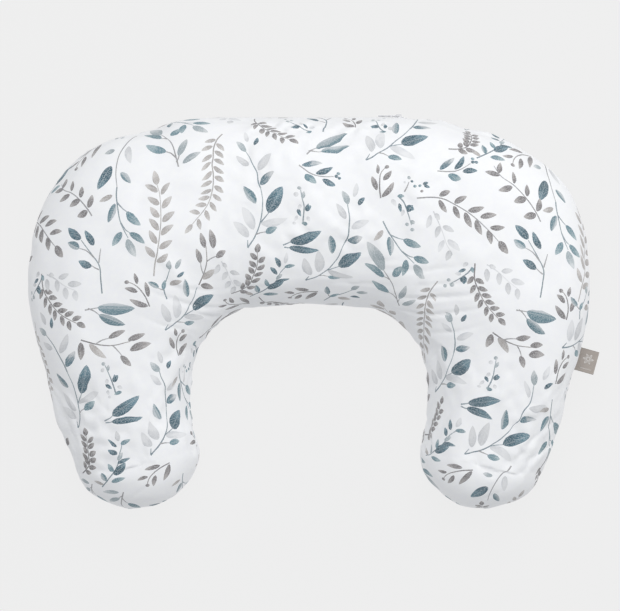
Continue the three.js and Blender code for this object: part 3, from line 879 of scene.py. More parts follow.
        "foot": (-84, -98), "tip": (-54, -38),
        **fern(
            [(-84, -98), (-72, -94), (-63, -87), (-58, -74), (-55, -60), (-54, -48)],
            6, 11, 6.0, "brown", first=0.2, last=0.88, spread=48.0),
    },
}

# Where each sprig stands on the upper panel: its foot, its tip, and -1 where it is mirrored.
# The places were read off the photo, unrolled onto a millimetre grid.
UPPER_LAYOUT = [
    ("branch_low", -64, -42, -77, 73, 1), ("branch_top", -64, -42, -77, 73, 1),
    ("branch_low", -299, -198, -310, -86, 1), ("branch_top", -299, -198, -310, -86, 1),
    ("branch_low", 159, -199, 157, -109, 1), ("branch_top", 159, -199, 157, -109, 1),
    ("branch_low", -4, -82, 36, 17, 1), ("branch_top", -4, -82, 36, 17, 1),
    ("branch_low", 225, -248, 268, -142, 1), ("branch_top", 225, -248, 268, -142, 1),
    ("branch_low", -228, -249, -197, -156, 1), ("branch_top", -228, -249, -197, -156, 1),
    ("branch_low", 58, 51, 114, 152, 1), ("branch_top", 58, 51, 114, 152, 1),
    ("branch_low", -171, -127, -115, -26, 1), ("branch_low", 290, -112, 346, -11, 1),
    ("beige_fern", -91, 84, -128, -22, 1), ("grey_fern", -170, -66, -158, 37, 1),
    ("grey_fern", 296, -62, 296, 40, 1),
    ("hanging_top", -183, 100, -197, 33, 1), ("hanging_low", -198, 26, -185, -43, 1),
    ("hanging_top", 257, 98, 258, 31, 1), ("hanging_low", 258, 26, 284, -32, 1),
    ("hanging_low", 80, -21, 128, -73, 1), ("hanging_low", 301, -172, 335, -232, 1),
    ("hanging_low", -164, -179, -135, -236, 1), ("hanging_top", 277, -245, 266, -300, 1),
    ("four_leaf", -226, -73, -252, 2, 1), ("four_leaf", 253, -70, 214, -4, 1),
    ("four_leaf", 14, 88, -8, 164, 1),
    ("brown_fern", -225, 8, -266, 62, 1), ("brown_fern", 240, 5, 184, 59, 1),
    ("long_fern", 111, 11, 210, -34, 1), ("long_fern", -342, 48, -262, -26, 1),
    ("small_fern", 178, -50, 223, -107, 1), ("small_fern", -290, -35, -252, -101, 1),
    ("small_fern", -58, 128, -12, 69, 1),
    ("berry_sprig", -6, -17, -10, 21, 1), ("berry_sprig", -240, -177, -246, -141, 1),
    ("berry_sprig", 226, -177, 223, -142, 1),
    ("dark_pair", -28, -41, 12, -23, 1), ("dark_pair", -263, -200, -221, -185, 1),
    ("dark_pair", 203, -201, 243, -183, 1),
    ("grey_pair", -3, 57, 40, 87, 1), ("grey_pair", -249, -84, -197, -95, 1),
    ("grey_pair", 230, -89, 275, -86, 1),
    ("wide_sprig", -134, 47, -174, 99, 1),
    ("four_berry", -10, 45, 31, 33, 1), ("four_berry", 131, 42, 170, 55, 1),
    ("brown_tree", 212, -118, 274, -124, 1), ("brown_tree", -260, -112, -190, -136, 1),
    ("brown_tree", -122, -82, -104, -22, 1),
    ("bud_sprig", 75, 9, 81, 43, 1), ("bud_sprig", -181, -97, -199, -66, -1),
    ("bud_sprig", 287, -84, 273, -57, -1), ("bud_sprig", -163, -160, -150, -134, 1),
    ("bud_sprig", 294, -148, 303, -117, 1), ("bud_sprig", 49, 97, 38, 128, -1),
    ("bud_sprig", 9, -98, -21, -110, -1), ("bud_sprig", -212, -264, -243, -283, -1),
    ("bud_sprig", 238, -264, 209, -288, -1), ("bud_sprig", 237, 87, 208, 60, -1),
    ("bud_sprig", -222, 98, -246, 68, -1),
    ("florets", 97, 12, 108, -23, 1), ("florets", 178, -60, 150, -80, 1),
    ("florets", -288, -42, -315, -54, 1), ("florets", 75, 88, 68, 120, 1),
    ("dots", 98, 17, 122, 25, 1),
    ("mist_sprig", 128, -2, 152, -50, 1), ("mist_sprig", -94, -56, -80, -96, 1),
    ("mist_sprig", 190, -50, 232, -74, 1), ("mist_sprig", -283, -38, -252, -70, 1),
    ("teal_branch", -62, -108, -24, -49, 1), ("teal_branch", -291, -271, -254, -214, 1),
    ("teal_branch", 173, -269, 208, -215, 1), ("teal_branch", 171, 59, 209, 118, 1),
    ("upright_fern", -84, -98, -54, -38, 1), ("upright_fern", -316, -246, -290, -199, 1),
    ("upright_fern", 148, -246, 174, -200, 1), ("upright_fern", 143, 67, 170, 112, 1),
    ("sage_sprig", -161, -93, -152, -51, 1), ("sage_sprig", 304, -78, 308, -42, 1),
]

# The print repeats by half-drop. The middle of the upper panel gives the sprigs of one repeat.
REPEAT_ACROSS = 466.0
REPEAT_DOWN = 319.0
REPEAT_REACH = (-225.0, 241.0, -122.0, 100.0)
STEM_WIDTH = 1.3

# Sprigs that fill what the layout leaves bare keep off the shapes already there. A coarse grid
# over the flat cloth notes which of its cells are inked.
CELL = 2.0
CELLS_HALF = 260
REPEAT_MARGIN = 1.2
REPEAT_OVERLAP = 0.05
FILL_MARGIN = 3.2
FILL_STEP = 14.0
FILL_TRIES = 2
UPPER_LAYOUT_SHARE = 0.64
FILL_SPRIGS = [
    "wide_sprig", "small_fern", "mist_sprig", "upright_fern", "sage_sprig", "four_berry",
    "bud_sprig", "berry_sprig", "florets", "dots",
]


def linear(colour):
    """A display colour as light."""
    return tuple(c / 12.92 if c <= 0.04045 else ((c + 0.055) / 1.055) ** 2.4 for c in colour)


def turned(points, sprig, foot, tip, mirror):
    """Moves points from where a sprig is drawn to where it stands."""
    points = np.asarray(points, float)
    old_foot, old_tip = complex(*sprig["foot"]), complex(*sprig["tip"])
    new_foot, new_tip = complex(*foot), complex(*tip)
    local = (points[..., 0] + 1j * points[..., 1] - old_foot) / (old_tip - old_foot)
    stretch = abs(new_tip - new_foot) / abs(old_tip - old_foot)
    across = mirror * local.imag / stretch if stretch < 1 else mirror * local.imag
    place = new_foot + (local.real + 1j * across) * (new_tip - new_foot)
    return np.stack([place.real, place.imag], -1)


class Ink:
    """One inked shape of the print: its outline and how colour lies along and across it."""

    def __init__(self, outline, tone, root, axis, length, half_width, number):
        self.outline = outline
        body, edge, lie = TONES[tone]
        random = np.random.default_rng(number)
        fade = random.uniform(0.9, 1.1)
        self.body = tuple(c * fade for c in linear(body))
        self.edge = tuple(c * fade for c in linear(edge))
        self.lie = lie
        self.root, self.axis = root, axis
        self.length, self.half_width = length, half_width
        self.number = number

    def lies(self, points):
        """Along 0..1 and across -1..1 for points of the shape."""
        offset = points - self.root
        on = offset @ self.axis / self.length
        off = (offset[:, 1] * self.axis[0] - offset[:, 0] * self.axis[1]) / self.half_width
        return on, off


LEAF_TURNS = [0.0, 0.06, 0.17, 0.32, 0.48, 0.64, 0.79, 0.92, 1.0]


def leaf_ink(root, tip, width, tone, number):
    random = np.random.default_rng(number + 7)
    axis = tip - root
    length = np.linalg.norm(axis)
    axis = axis / length
    normal = np.array([-axis[1], axis[0]])
    t = np.array(LEAF_TURNS)
    profile = np.sin(math.pi * t ** 0.88) ** 0.7 * (1 - 0.12 * t)
    bend = random.uniform(-0.06, 0.06) * length * 4 * t * (1 - t)
    wobble = random.normal(0, 0.03, (2, len(t)))
    upper = profile * (1 + wobble[0]) * width / 2 + bend
    lower = -profile * (1 + wobble[1]) * width / 2 + bend
    line = root + np.outer(t * length, axis)
    sides = [line + np.outer(upper, normal), (line + np.outer(lower, normal))[::-1][1:-1]]
    return Ink(np.concatenate(sides), tone, root, axis, length, width / 2, number)


def stem_ink(points, tone, number):
    reach = np.linalg.norm(np.diff(np.asarray(points, float), axis=0), axis=1).sum()
    line = smooth_line(points, max(int(reach / 3.2), 3))
    ahead = np.gradient(line, axis=0)
    ahead /= np.linalg.norm(ahead, axis=1, keepdims=True)
    normal = np.stack([-ahead[:, 1], ahead[:, 0]], -1)
    taper = np.linspace(1.1, 0.7, len(line))[:, None] * STEM_WIDTH / 2
    outline = np.concatenate([line + normal * taper, (line - normal * taper)[::-1]])
    axis = (line[-1] - line[0]) / np.linalg.norm(line[-1] - line[0])
    return Ink(outline, tone, line[0], axis, reach, STEM_WIDTH, number)


def bud_ink(place, radius, tone, number):
    angles = np.linspace(0, 2 * math.pi, 13)[:-1] + number
    outline = place + radius * np.stack([np.cos(angles), 0.85 * np.sin(angles)], -1)
    return Ink(outline, tone, place - (radius, 0), np.array([1.0, 0.0]), 2 * radius, radius, number)


def sprig_inks(name, foot, tip, mirror, number):
    """The inked shapes of a sprig, stems first, where it stands."""
    sprig = SPRIGS[name]
    stems, leaves = [], []
    for points, tone in sprig["stems"]:
        stems.append(stem_ink(turned(points, sprig, foot, tip, mirror), tone, number))
        number += 1
    for root_u, root_v, tip_u, tip_v, width, tone in sprig["leaves"]:
        ends = turned([(root_u, root_v), (tip_u, tip_v)], sprig, foot, tip, mirror)
        leaves.append(leaf_ink(ends[0], ends[1], width, tone, number))
        number += 1
    for u, v, radius, tone in sprig.get("buds", []):
        place = turned([(u, v)], sprig, foot, tip, mirror)[0]
        leaves.append(bud_ink(place, radius, tone, number))
        number += 1
    return stems, leaves


def repeat_layout():
    """The sprigs of one repeat, and where it recurs."""
    low_u, high_u, low_v, high_v = REPEAT_REACH
    repeat = []
    for name, foot_u, foot_v, tip_u, tip_v, mirror in UPPER_LAYOUT:
        u, v = (foot_u + tip_u) / 2, (foot_v + tip_v) / 2
        if low_u <= u <= high_u and low_v <= v <= high_v:
            repeat.append((name, foot_u, foot_v, tip_u, tip_v, mirror))
    shifts = []
    for down in range(-3, 4):
        for across in range(-2, 3):
            shift_u = REPEAT_ACROSS * (across + 0.5 * (down % 2))
            shifts.append((shift_u, REPEAT_DOWN / 2 * down))
    return repeat, sorted(shifts, key=lambda shift: math.hypot(*shift))


def ink_spots(ink, margin):
    """Closely spaced points over a leaf or bud, and a margin round it."""
    on = np.arange(-margin, ink.length + margin, 1.5)
    reach = 0.85 * ink.half_width + margin
    off = np.linspace(-reach, reach, int(2 * reach / 1.5) + 2)
    on, off = np.meshgrid(on, off)
    normal = np.array([-ink.axis[1], ink.axis[0]])
    return ink.root + on.reshape(-1, 1) * ink.axis + off.reshape(-1, 1) * normal


def cells_of(points):
    cells = np.round(points / CELL).astype(int) + CELLS_HALF
    return np.clip(cells, 0, 2 * CELLS_HALF - 1)


class Print:
    """The inked shapes of one panel, and a coarse grid of where the cloth is inked."""

    def __init__(self, number):
        self.stems, self.leaves = [], []
        self.number = number
        self.inked = np.zeros((2 * CELLS_HALF, 2 * CELLS_HALF), bool)

    def taken(self, points):
        cells = cells_of(points)
        return self.inked[cells[:, 0], cells[:, 1]].mean()

    def add(self, name, foot, tip, mirror, overlap=1.0):
        """Prints a sprig unless more of it than overlap would lie on what is there."""
        stems, leaves = sprig_inks(name, foot, tip, mirror, self.number)
        if overlap < 1 and self.taken(np.concatenate([ink_spots(leaf, 0) for leaf in leaves])) > overlap:
            return
        self.number += len(stems) + len(leaves)
        self.stems += stems
        self.leaves += leaves
        spots = [ink_spots(leaf, REPEAT_MARGIN) for leaf in leaves] + [stem.outline for stem in stems]
        cells = cells_of(np.concatenate(spots))
        self.inked[cells[:, 0], cells[:, 1]] = True


def print_layout(half, inside):
    """All inked shapes on a panel, in painting order. Sprigs fill what the layout leaves bare:
    near the seam on the upper panel, and all over the lower one."""
    layer = Print(100 if half > 0 else 5000)
    bare = UPPER_LAYOUT_SHARE if half > 0 else 0
    if half > 0:
        for name, foot_u, foot_v, tip_u, tip_v, mirror in UPPER_LAYOUT:
            layer.add(name, (foot_u, foot_v), (tip_u, tip_v), mirror)
    repeat, shifts = repeat_layout()
    for shift_u, shift_v in shifts:
        for name, foot_u, foot_v, tip_u, tip_v, mirror in repeat:
            foot = (foot_u + shift_u, foot_v + shift_v)
            tip = (tip_u + shift_u, tip_v + shift_v)
            if inside(np.array([foot, tip])).any():
                layer.add(name, foot, tip, mirror, REPEAT_OVERLAP)
    fill_print(layer, lambda points: inside(points) & (Cloth.from_flat(*points.T, half).share > bare))
    return layer.stems + layer.leaves


def fill_print(layer, inside):
    """Small sprigs at odd angles in the bare spots that are left, the larger sprigs first."""
    random = np.random.default_rng(77)
    for name in FILL_SPRIGS:
        sprig = SPRIGS[name]
        foot, tip = complex(*sprig["foot"]), complex(*sprig["tip"])
        _, leaves = sprig_inks(name, sprig["foot"], sprig["tip"], 1, 0)
        spots = np.concatenate([ink_spots(leaf, FILL_MARGIN) for leaf in leaves])
        spots = spots[:, 0] + 1j * spots[:, 1] - foot
        middle = spots.mean()
        for u, v in random.permutation(hexagonal(FILL_STEP, inside)):
            for angle in random.uniform(0, 2 * math.pi, FILL_TRIES):
                turn = complex(math.cos(angle), math.sin(angle))
                new_foot = complex(u, v) - middle * turn
                place = new_foot + spots * turn
                if layer.taken(np.stack([place.real, place.imag], -1)) == 0:
                    new_tip = new_foot + (tip - foot) * turn
                    layer.add(name, (new_foot.real, new_foot.imag), (new_tip.real, new_tip.imag), 1)
                    break


# ------------------------------------------------------------------ cover panels

def edge_route(half):
    """The panel's edge in order, as (side, way along the spine, turn about its end)."""
    ahead = np.linspace(0, SPINE_HALF, 1500)
    around = np.linspace(0, math.pi, 500)[1:-1]
    end = np.full_like(around, SPINE_HALF)
    outer, inner = np.zeros_like(ahead), np.full_like(ahead, math.pi)
    s = np.concatenate([ahead, end, ahead[::-1]])
    turn = np.concatenate([outer, around, inner])
    right, left = np.ones_like(s), -np.ones_like(s)
    side = np.concatenate([right, left[1:-1]])
    s = np.concatenate([s, s[::-1][1:-1]])
    turn = np.concatenate([turn, turn[::-1][1:-1]])
    points = edge_cloth(side, s, turn, 0.0, half).place()
    way = np.concatenate([[0], np.cumsum(np.linalg.norm(np.diff(points, axis=0), axis=1))])
    count = int(way[-1] / EDGE_STEP)
    picks = np.searchsorted(way, np.linspace(0, way[-1], count, endpoint=False))
    return side[picks], s[picks], turn[picks]


def edge_cloth(side, s, turn, inset, half):
    """Points of the cloth a little way in from the panel's edge."""
    across, beyond = np.cos(turn), np.sin(turn)
    beyond = np.where(beyond < 1e-9, 0.0, beyond)
    rim = Cloth(side, s, across, beyond, half)
    share = rim.edge_share() - inset / rim.length()
    return Cloth(side, s, share * across, share * beyond, half)


def hexagonal(step, inside):
    rows = np.arange(-420, 420, step * math.sqrt(0.75))
    columns = np.arange(-480, 480, step)
    v, u = np.meshgrid(rows, columns, indexing="ij")
    u = u + (np.arange(len(rows)) % 2)[:, None] * step / 2
    points = np.stack([u.reshape(-1), v.reshape(-1)], -1)
    return points[inside(points)]


def inside_test(half, margin):
    def test(points):
        cloth = Cloth.from_flat(points[:, 0], points[:, 1], half)
        return cloth.share < cloth.edge_share() - margin / cloth.length()
    return test


def anticlockwise(loop, start):
    """Numbers of a loop's points, from start, in the order that the triangulation needs."""
    numbers = list(range(start, start + len(loop)))
    return numbers if signed_area(loop) > 0 else numbers[::-1]


def triangulate(loops, loose, inks):
    """Triangles of a panel's flat cloth. loops holds its edge, then the rings inside that."""
    points, edges, faces = [], [], []
    for loop in loops:
        start = len(points)
        points += loop.tolist()
        count = len(loop)
        edges += [(start + i, start + (i + 1) % count) for i in range(count)]
    faces.append(anticlockwise(loops[0], 0))
    points += loose.tolist()
    for ink in inks:
        faces.append(anticlockwise(ink.outline, len(points)))
        points += ink.outline.tolist()
    result = delaunay_2d_cdt([Vector(p) for p in points], edges, faces, 0, 1e-4, True)
    flat = np.array([tuple(p) for p in result[0]])
    triangles, owners = [], []
    for face, parents in zip(result[2], result[5]):
        if 0 in parents:
            triangles.append(face)
            owners.append(max(parents) - 1)
    triangles, owners = np.array(triangles), np.array(owners)
    corners = flat[triangles]
    ahead, aside = corners[:, 1] - corners[:, 0], corners[:, 2] - corners[:, 0]
    area = ahead[:, 0] * aside[:, 1] - ahead[:, 1] * aside[:, 0]
    triangles[area < 0] = triangles[area < 0][:, ::-1]
    return flat, triangles, owners


def walk_edge(triangles):
    """The panel's edge as point numbers in order."""
    pairs = np.concatenate([triangles[:, [0, 1]], triangles[:, [1, 2]], triangles[:, [2, 0]]])
    known = set(map(tuple, pairs.tolist()))
    onward = {a: b for a, b in known if (b, a) not in known}
    first = next(iter(onward))
    loop, at = [first], onward[first]
    while at != first:
        loop.append(at)
        at = onward[at]
    if len(loop) != len(onward):
        raise RuntimeError("a panel's edge isn't one loop")
    return loop


def surface(points, depth, thickness=0.0):
    """Finished places and outward directions for points of the cloth."""
    u, v = points.flat()

    def place(a, b):
        return finished(Cloth.from_flat(a, b, points.half), depth)

    normal = slope_normal(place, u, v, points.half)
    return finished(points, depth) - normal * thickness, normal


def cover_panel(name, half):
    """One printed panel of the cover: outer cloth cut along the print, inner face, and rim."""
    side, s, turn = edge_route(half)
    loops = []
    for inset in [0.0, *EDGE_RINGS]:
        u, v = edge_cloth(side, s, turn, inset, half).flat()
        loops.append(np.stack([u, v], -1))
    inks = print_layout(half, inside_test(half, 1.0))
    loose = hexagonal(CLOTH_STEP, inside_test(half, EDGE_RINGS[-1] + 0.6 * CLOTH_STEP))
    flat, triangles, owners = triangulate(loops, loose, inks)
    used = np.unique(triangles)
    renumber = np.full(len(flat), -1)
    renumber[used] = np.arange(len(used))
    flat, triangles = flat[used], renumber[triangles]
    edge = walk_edge(triangles)
    inner_loose = hexagonal(LINING_STEP, inside_test(half, 0.7 * LINING_STEP))
    inner_flat, inner_triangles, _ = triangulate([flat[edge]], inner_loose, [])
    outer_cloth = Cloth.from_flat(flat[:, 0], flat[:, 1], half)
    inner_cloth = Cloth.from_flat(inner_flat[:, 0], inner_flat[:, 1], half)
    outer, outer_normal = surface(outer_cloth, (0.0, 0.0))
    inner, inner_normal = surface(inner_cloth, (0.0, 0.0), CLOTH_THICKNESS)
    count = len(flat)
    inner_edge = nearest(inner_flat, flat[edge]) + count
    ahead = np.roll(np.arange(len(edge)), -1)
    edge = np.array(edge)
    rim = np.stack([edge[ahead], edge, inner_edge, inner_edge[ahead]], -1)
    faces = [triangles, inner_triangles[:, ::-1] + count, rim]
    if half < 0:
        faces = [face[:, ::-1] for face in faces]
    everything = [face for group in faces for face in group.tolist()]
    piece = new_object(name, np.concatenate([outer, inner]), everything)
    mesh = piece.data
    corner_owner = np.concatenate([
        np.repeat(owners, 3), np.full(len(inner_triangles) * 3 + len(rim) * 4, -1)])
    corner_point = np.zeros(len(mesh.loops), int)
    mesh.loops.foreach_get("vertex_index", corner_point)
    all_flat = np.concatenate([flat, inner_flat])
    paint(mesh, inks, corner_owner, all_flat[corner_point])
    add_vector(mesh, "cloth_place", "POINT", np.column_stack([all_flat, np.full(len(all_flat), half)]))
    normals = np.concatenate([outer_normal, -inner_normal])
    mesh.shade_smooth()
    mesh.normals_split_custom_set_from_vertices(normals.tolist())
    return piece, area_of(flat[edge])


def nearest(points, wanted):
    """Numbers of the points that lie where wanted says."""
    key = {tuple(np.round(p, 4)): i for i, p in enumerate(points)}
    return np.array([key[tuple(np.round(p, 4))] for p in wanted])


def signed_area(loop):
    ahead = np.roll(loop, -1, axis=0)
    return (loop[:, 0] * ahead[:, 1] - loop[:, 1] * ahead[:, 0]).sum() / 2


def area_of(loop):
    return abs(signed_area(loop))


def add_vector(mesh, name, domain, values):
    attribute = mesh.attributes.new(name, "FLOAT_VECTOR", domain)
    attribute.data.foreach_set("vector", np.ascontiguousarray(values, np.float32).reshape(-1))


def paint(mesh, inks, owners, places):
    """Writes the print onto a panel's corners: two colours, and where in the leaf a corner is."""
    body = np.zeros((len(owners), 4), np.float32)
    edge = np.zeros((len(owners), 4), np.float32)
    lies = np.zeros((len(owners), 3), np.float32)
    order = np.argsort(owners, kind="stable")
    starts = np.searchsorted(owners[order], np.arange(len(inks) + 1))
    for index, ink in enumerate(inks):
        picks = order[starts[index]:starts[index + 1]]
        if len(picks) == 0:
            continue
        on, off = ink.lies(places[picks])
        body[picks] = (*ink.body, 1.0)
        edge[picks] = (*ink.edge, 1.0)
        run = {0: on, 1: 1 - on, 2: 0.5 + 0.5 * off}[ink.lie]
        lies[picks] = np.stack([run, off, np.full_like(on, ink.number % 97)], -1)
    for name, values in (("ink_body", body), ("ink_edge", edge)):
        attribute = mesh.attributes.new(name, "FLOAT_COLOR", "CORNER")
        attribute.data.foreach_set("color", values.reshape(-1))
    add_vector(mesh, "ink_lie", "CORNER", lies)


# ------------------------------------------------------------------ casing and filling

def casing_panel(name, half):
    """One panel of the plain casing, a closed thin shell under the cover."""
    sides = []
    for side in (1, -1):
        grid = grid_points(side, half, CASING_TIP_ROWS, CASING_ROWS, CASING_COLUMNS)
        outer, normal = surface(grid, CASING_DEPTH)
        inner = outer - normal * CLOTH_THICKNESS
        sides.append((side, outer, inner))
    blocks = [block for _, outer, inner in sides for block in (outer, inner)]
    points = np.concatenate([block.reshape(-1, 3) for block in blocks])
    rows, columns = blocks[0].shape[:2]
    size = rows * columns
    faces = []
    for index, (side, _, _) in enumerate(sides):
        outer_numbers = np.arange(size) + 2 * index * size
        inner_numbers = outer_numbers + size
        faces += grid_faces(rows, columns, outer_numbers, side * half < 0).tolist()
        faces += grid_faces(rows, columns, inner_numbers, side * half > 0).tolist()
        outer_grid = outer_numbers.reshape(rows, columns)
        inner_grid = inner_numbers.reshape(rows, columns)
        for column in (0, columns - 1):
            outer_rim, inner_rim = outer_grid[:, column], inner_grid[:, column]
            quads = np.stack([outer_rim[:-1], outer_rim[1:], inner_rim[1:], inner_rim[:-1]], -1)
            flip = (column == 0) == (side * half > 0)
            faces += (quads[:, ::-1] if flip else quads).tolist()
    piece = new_object(name, points, faces)
    weld_mesh(piece.data, 0.02)
    piece.data.shade_smooth()
    flat_u, flat_v = edge_flat(half)
    return piece, area_of(np.stack([flat_u, flat_v], -1))


def edge_flat(half):
    side, s, turn = edge_route(half)
    return edge_cloth(side, s, turn, 0.0, half).flat()


def edit_mesh(mesh, change):
    work = bmesh.new()
    work.from_mesh(mesh)
    change(work)
    work.to_mesh(mesh)
    work.free()
    mesh.update()


def weld_mesh(mesh, distance):
    edit_mesh(mesh, lambda work: bmesh.ops.remove_doubles(work, verts=work.verts, dist=distance * MM))


FILLING_ROWS = 66
FILLING_TIP_ROWS = 12
FILLING_COLUMNS = 44
CLUMP_HEIGHT = 0.45
TUFT_HEIGHT = 0.25
CLUMP_LEVEL = 0.5


def fibre_filling(name):
    """The fibre ball filling: a closed cushion with clumps and tufts on its surface."""
    keys, grids, points, faces, number, _ = closed_cushion(
        FILLING_DEPTH, FILLING_ROWS, FILLING_TIP_ROWS, FILLING_COLUMNS)
    blocks = []
    for side, half in keys:
        grid = grids[side, half]
        place, normal = surface(grid, FILLING_DEPTH)
        u, v = grid.flat()
        clumps = CLUMP_HEIGHT * CLUMPS(u, v) + TUFT_HEIGHT * TUFTS(u, v)
        blocks.append(place - normal * np.maximum(clumps + CLUMP_LEVEL, 0)[..., None])
    moved = np.zeros_like(points)
    moved[number] = np.concatenate([block.reshape(-1, 3) for block in blocks])
    piece = new_object(name, moved, faces)
    piece.data.shade_smooth()
    return piece


# ------------------------------------------------------------------ zip

def box_mm(node):
    low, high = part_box(node)
    return np.array(low) / MM, np.array(high) / MM


TAPE_COLUMNS = 15
TAPE_ROWS = 150
TAPE_INSET = 0.2
TAPE_HALF_THICK = 0.22
TAPE_RIM_RISE = 0.1
TAPE_RIM_WIDTH = 0.9
TAPE_EDGE_HALF = 0.08
TAPE_RIPPLE = 0.03


def tape(name, node):
    """A woven tape: a flat strip with thicker, rounded edges, lying where the CAD has it."""
    low, high = box_mm(node)
    across = np.linspace(0, 1, TAPE_COLUMNS)
    along_tape = np.linspace(low[0] + TAPE_INSET, high[0] - TAPE_INSET, TAPE_ROWS)
    middle = (low[1] + high[1]) / 2
    rim = np.minimum(across, 1 - across) * (high[2] - low[2])
    half_thick = TAPE_HALF_THICK + TAPE_RIM_RISE * np.exp(-(rim / TAPE_RIM_WIDTH) ** 2)
    half_thick[[0, -1]] = TAPE_EDGE_HALF
    x, share = np.meshgrid(along_tape, across, indexing="ij")
    z = low[2] + share * (high[2] - low[2])
    ripple = TAPE_RIPPLE * np.sin(x / 3.1 + share * 4)
    front = np.stack([x, middle + half_thick[None, :] + ripple, z], -1)
    back = np.stack([x, middle - half_thick[None, :] + ripple, z], -1)
    return closed_strip(name, front, back)


def closed_strip(name, front, back):
    """Closed mesh from two facing grids of points."""
    rows, columns = front.shape[:2]
    size = rows * columns
    a = np.arange(size).reshape(rows, columns)
    b = a + size
    faces = grid_faces(rows, columns, a.reshape(-1), False).tolist()
    faces += grid_faces(rows, columns, b.reshape(-1), True).tolist()
    ring_a = np.concatenate([a[0, :-1], a[:-1, -1], a[-1, :0:-1], a[:0:-1, 0]])
    ring_b = ring_a + size
    ahead = np.roll(np.arange(len(ring_a)), -1)
    faces += np.stack([ring_a, ring_b, ring_b[ahead], ring_a[ahead]], -1).tolist()
    points = np.concatenate([front.reshape(-1, 3), back.reshape(-1, 3)])
    piece = new_object(name, points, faces)
    make_outward(piece.data)
    piece.data.shade_smooth()
    return piece


def make_outward(mesh):
    edit_mesh(mesh, lambda work: bmesh.ops.recalc_face_normals(work, faces=work.faces))


def tube(path, radius, sides=8):
    """Points and faces of a closed tube along a path, with rounded ends."""
    path = np.asarray(path, float)
    ahead = np.gradient(path, axis=0)
    ahead /= np.linalg.norm(ahead, axis=1, keepdims=True)
    up = np.array([0.0, 1.0, 0.0]) if abs(ahead[0][1]) < 0.9 else np.array([1.0, 0.0, 0.0])
    aside = np.cross(ahead, up)
    aside /= np.linalg.norm(aside, axis=1, keepdims=True)
    over = np.cross(aside, ahead)
    size = np.full(len(path), radius)
    size[[0, -1]] *= 0.55
    angles = np.linspace(0, 2 * math.pi, sides, endpoint=False)
    ring = np.cos(angles)[:, None, None] * aside + np.sin(angles)[:, None, None] * over
    points = (path + ring * size[:, None]).transpose(1, 0, 2).reshape(-1, 3)
    faces = []
    for row in range(len(path) - 1):
        for column in range(sides):
            after = (column + 1) % sides
            faces.append((row * sides + column, row * sides + after,
                          (row + 1) * sides + after, (row + 1) * sides + column))
    faces.append(tuple(range(sides))[::-1])
    faces.append(tuple(range((len(path) - 1) * sides, len(path) * sides)))
    return points, faces


def merged(name, parts):
    points, faces, start = [], [], 0
    for part_points, part_faces in parts:
        points.append(part_points)
        faces += [[corner + start for corner in face] for face in part_faces]
        start += len(part_points)
    piece = new_object(name, np.concatenate(points), faces)
    make_outward(piece.data)
    piece.data.shade_smooth()
    return piece


COIL_PITCH = 1.5
COIL_WIRE = 0.33
COIL_HEAD = 0.56
COIL_WAIST = 1.4
COIL_LEAN = 0.32
COIL_SIDES = 7
CORD_INSET = 0.4
CORD_OFFSET = 0.35
CORD_RADIUS = 0.3
CORD_SIDES = 8
CORD_POINTS = 60


def coil(name, node, hand):
    """Half of the zip's chain: nylon wire wound in loops. The slider's neck passes between the
    heads of the two halves, which never part, so they stop just short of it."""
    low, high = box_mm(node)
    middle_z = (box_mm("zip_chain_upper")[0][2] + box_mm("zip_chain_lower")[1][2]) / 2
    root = high[2] if hand > 0 else low[2]
    head = middle_z + hand * COIL_HEAD
    waist = middle_z + hand * COIL_WAIST
    front, back = high[1] - COIL_WIRE, low[1] + COIL_WIRE
    root -= hand * COIL_WIRE
    parts = []
    count = int((high[0] - low[0] - COIL_PITCH) / COIL_PITCH)
    for index in range(count):
        x = low[0] + COIL_PITCH * (index + (0.35 if hand > 0 else 0.85))
        path = [
            (x + COIL_LEAN, back, root), (x + 0.2, back, waist), (x + 0.05, back, head + hand * 0.3),
            (x, (front + back) / 2, head), (x - 0.05, front, head + hand * 0.3),
            (x - 0.2, front, waist), (x - COIL_LEAN, front, root),
        ]
        parts.append(tube(path, COIL_WIRE, COIL_SIDES))
    cord_run = np.linspace(low[0] + CORD_INSET, high[0] - CORD_INSET, CORD_POINTS)
    cord = [(x, (front + back) / 2, root - hand * CORD_OFFSET) for x in cord_run]
    parts.append(tube(cord, CORD_RADIUS, CORD_SIDES))
    return merged(name, parts)


STITCH_LENGTH = 2.2
STITCH_GAP = 0.7
THREAD = 0.16
THREAD_SIDES = 6
STITCH_ROWS = (2.6, 8.4)
STITCH_END = 3
STITCH_LIFT = 0.08
STITCH_SINK = 0.14
STITCH_TURN = 0.3


def tape_stitches(name):
    """Two rows of lockstitch that hold the coil to its tapes."""
    parts = []
    for hand, node in ((1, "zip_tape_upper"), (-1, "zip_tape_lower")):
        low, high = box_mm(node)
        inner = low[2] if hand > 0 else high[2]
        for offset in STITCH_ROWS:
            z = inner + hand * offset
            x = low[0] + STITCH_END
            while x < high[0] - STITCH_END - STITCH_LENGTH:
                top = high[1] + STITCH_LIFT
                path = [(x, top - STITCH_SINK, z), (x + STITCH_TURN, top, z),
                        (x + STITCH_LENGTH - STITCH_TURN, top, z),
                        (x + STITCH_LENGTH, top - STITCH_SINK, z)]
                parts.append(tube(path, THREAD, THREAD_SIDES))
                x += STITCH_LENGTH + STITCH_GAP
    return merged(name, parts)


TOP_STITCH_INSET = 5.5
TOP_STITCH_END = 2.0
TOP_STITCH_LIFT = (-0.12, 0.1, 0.1, -0.12)


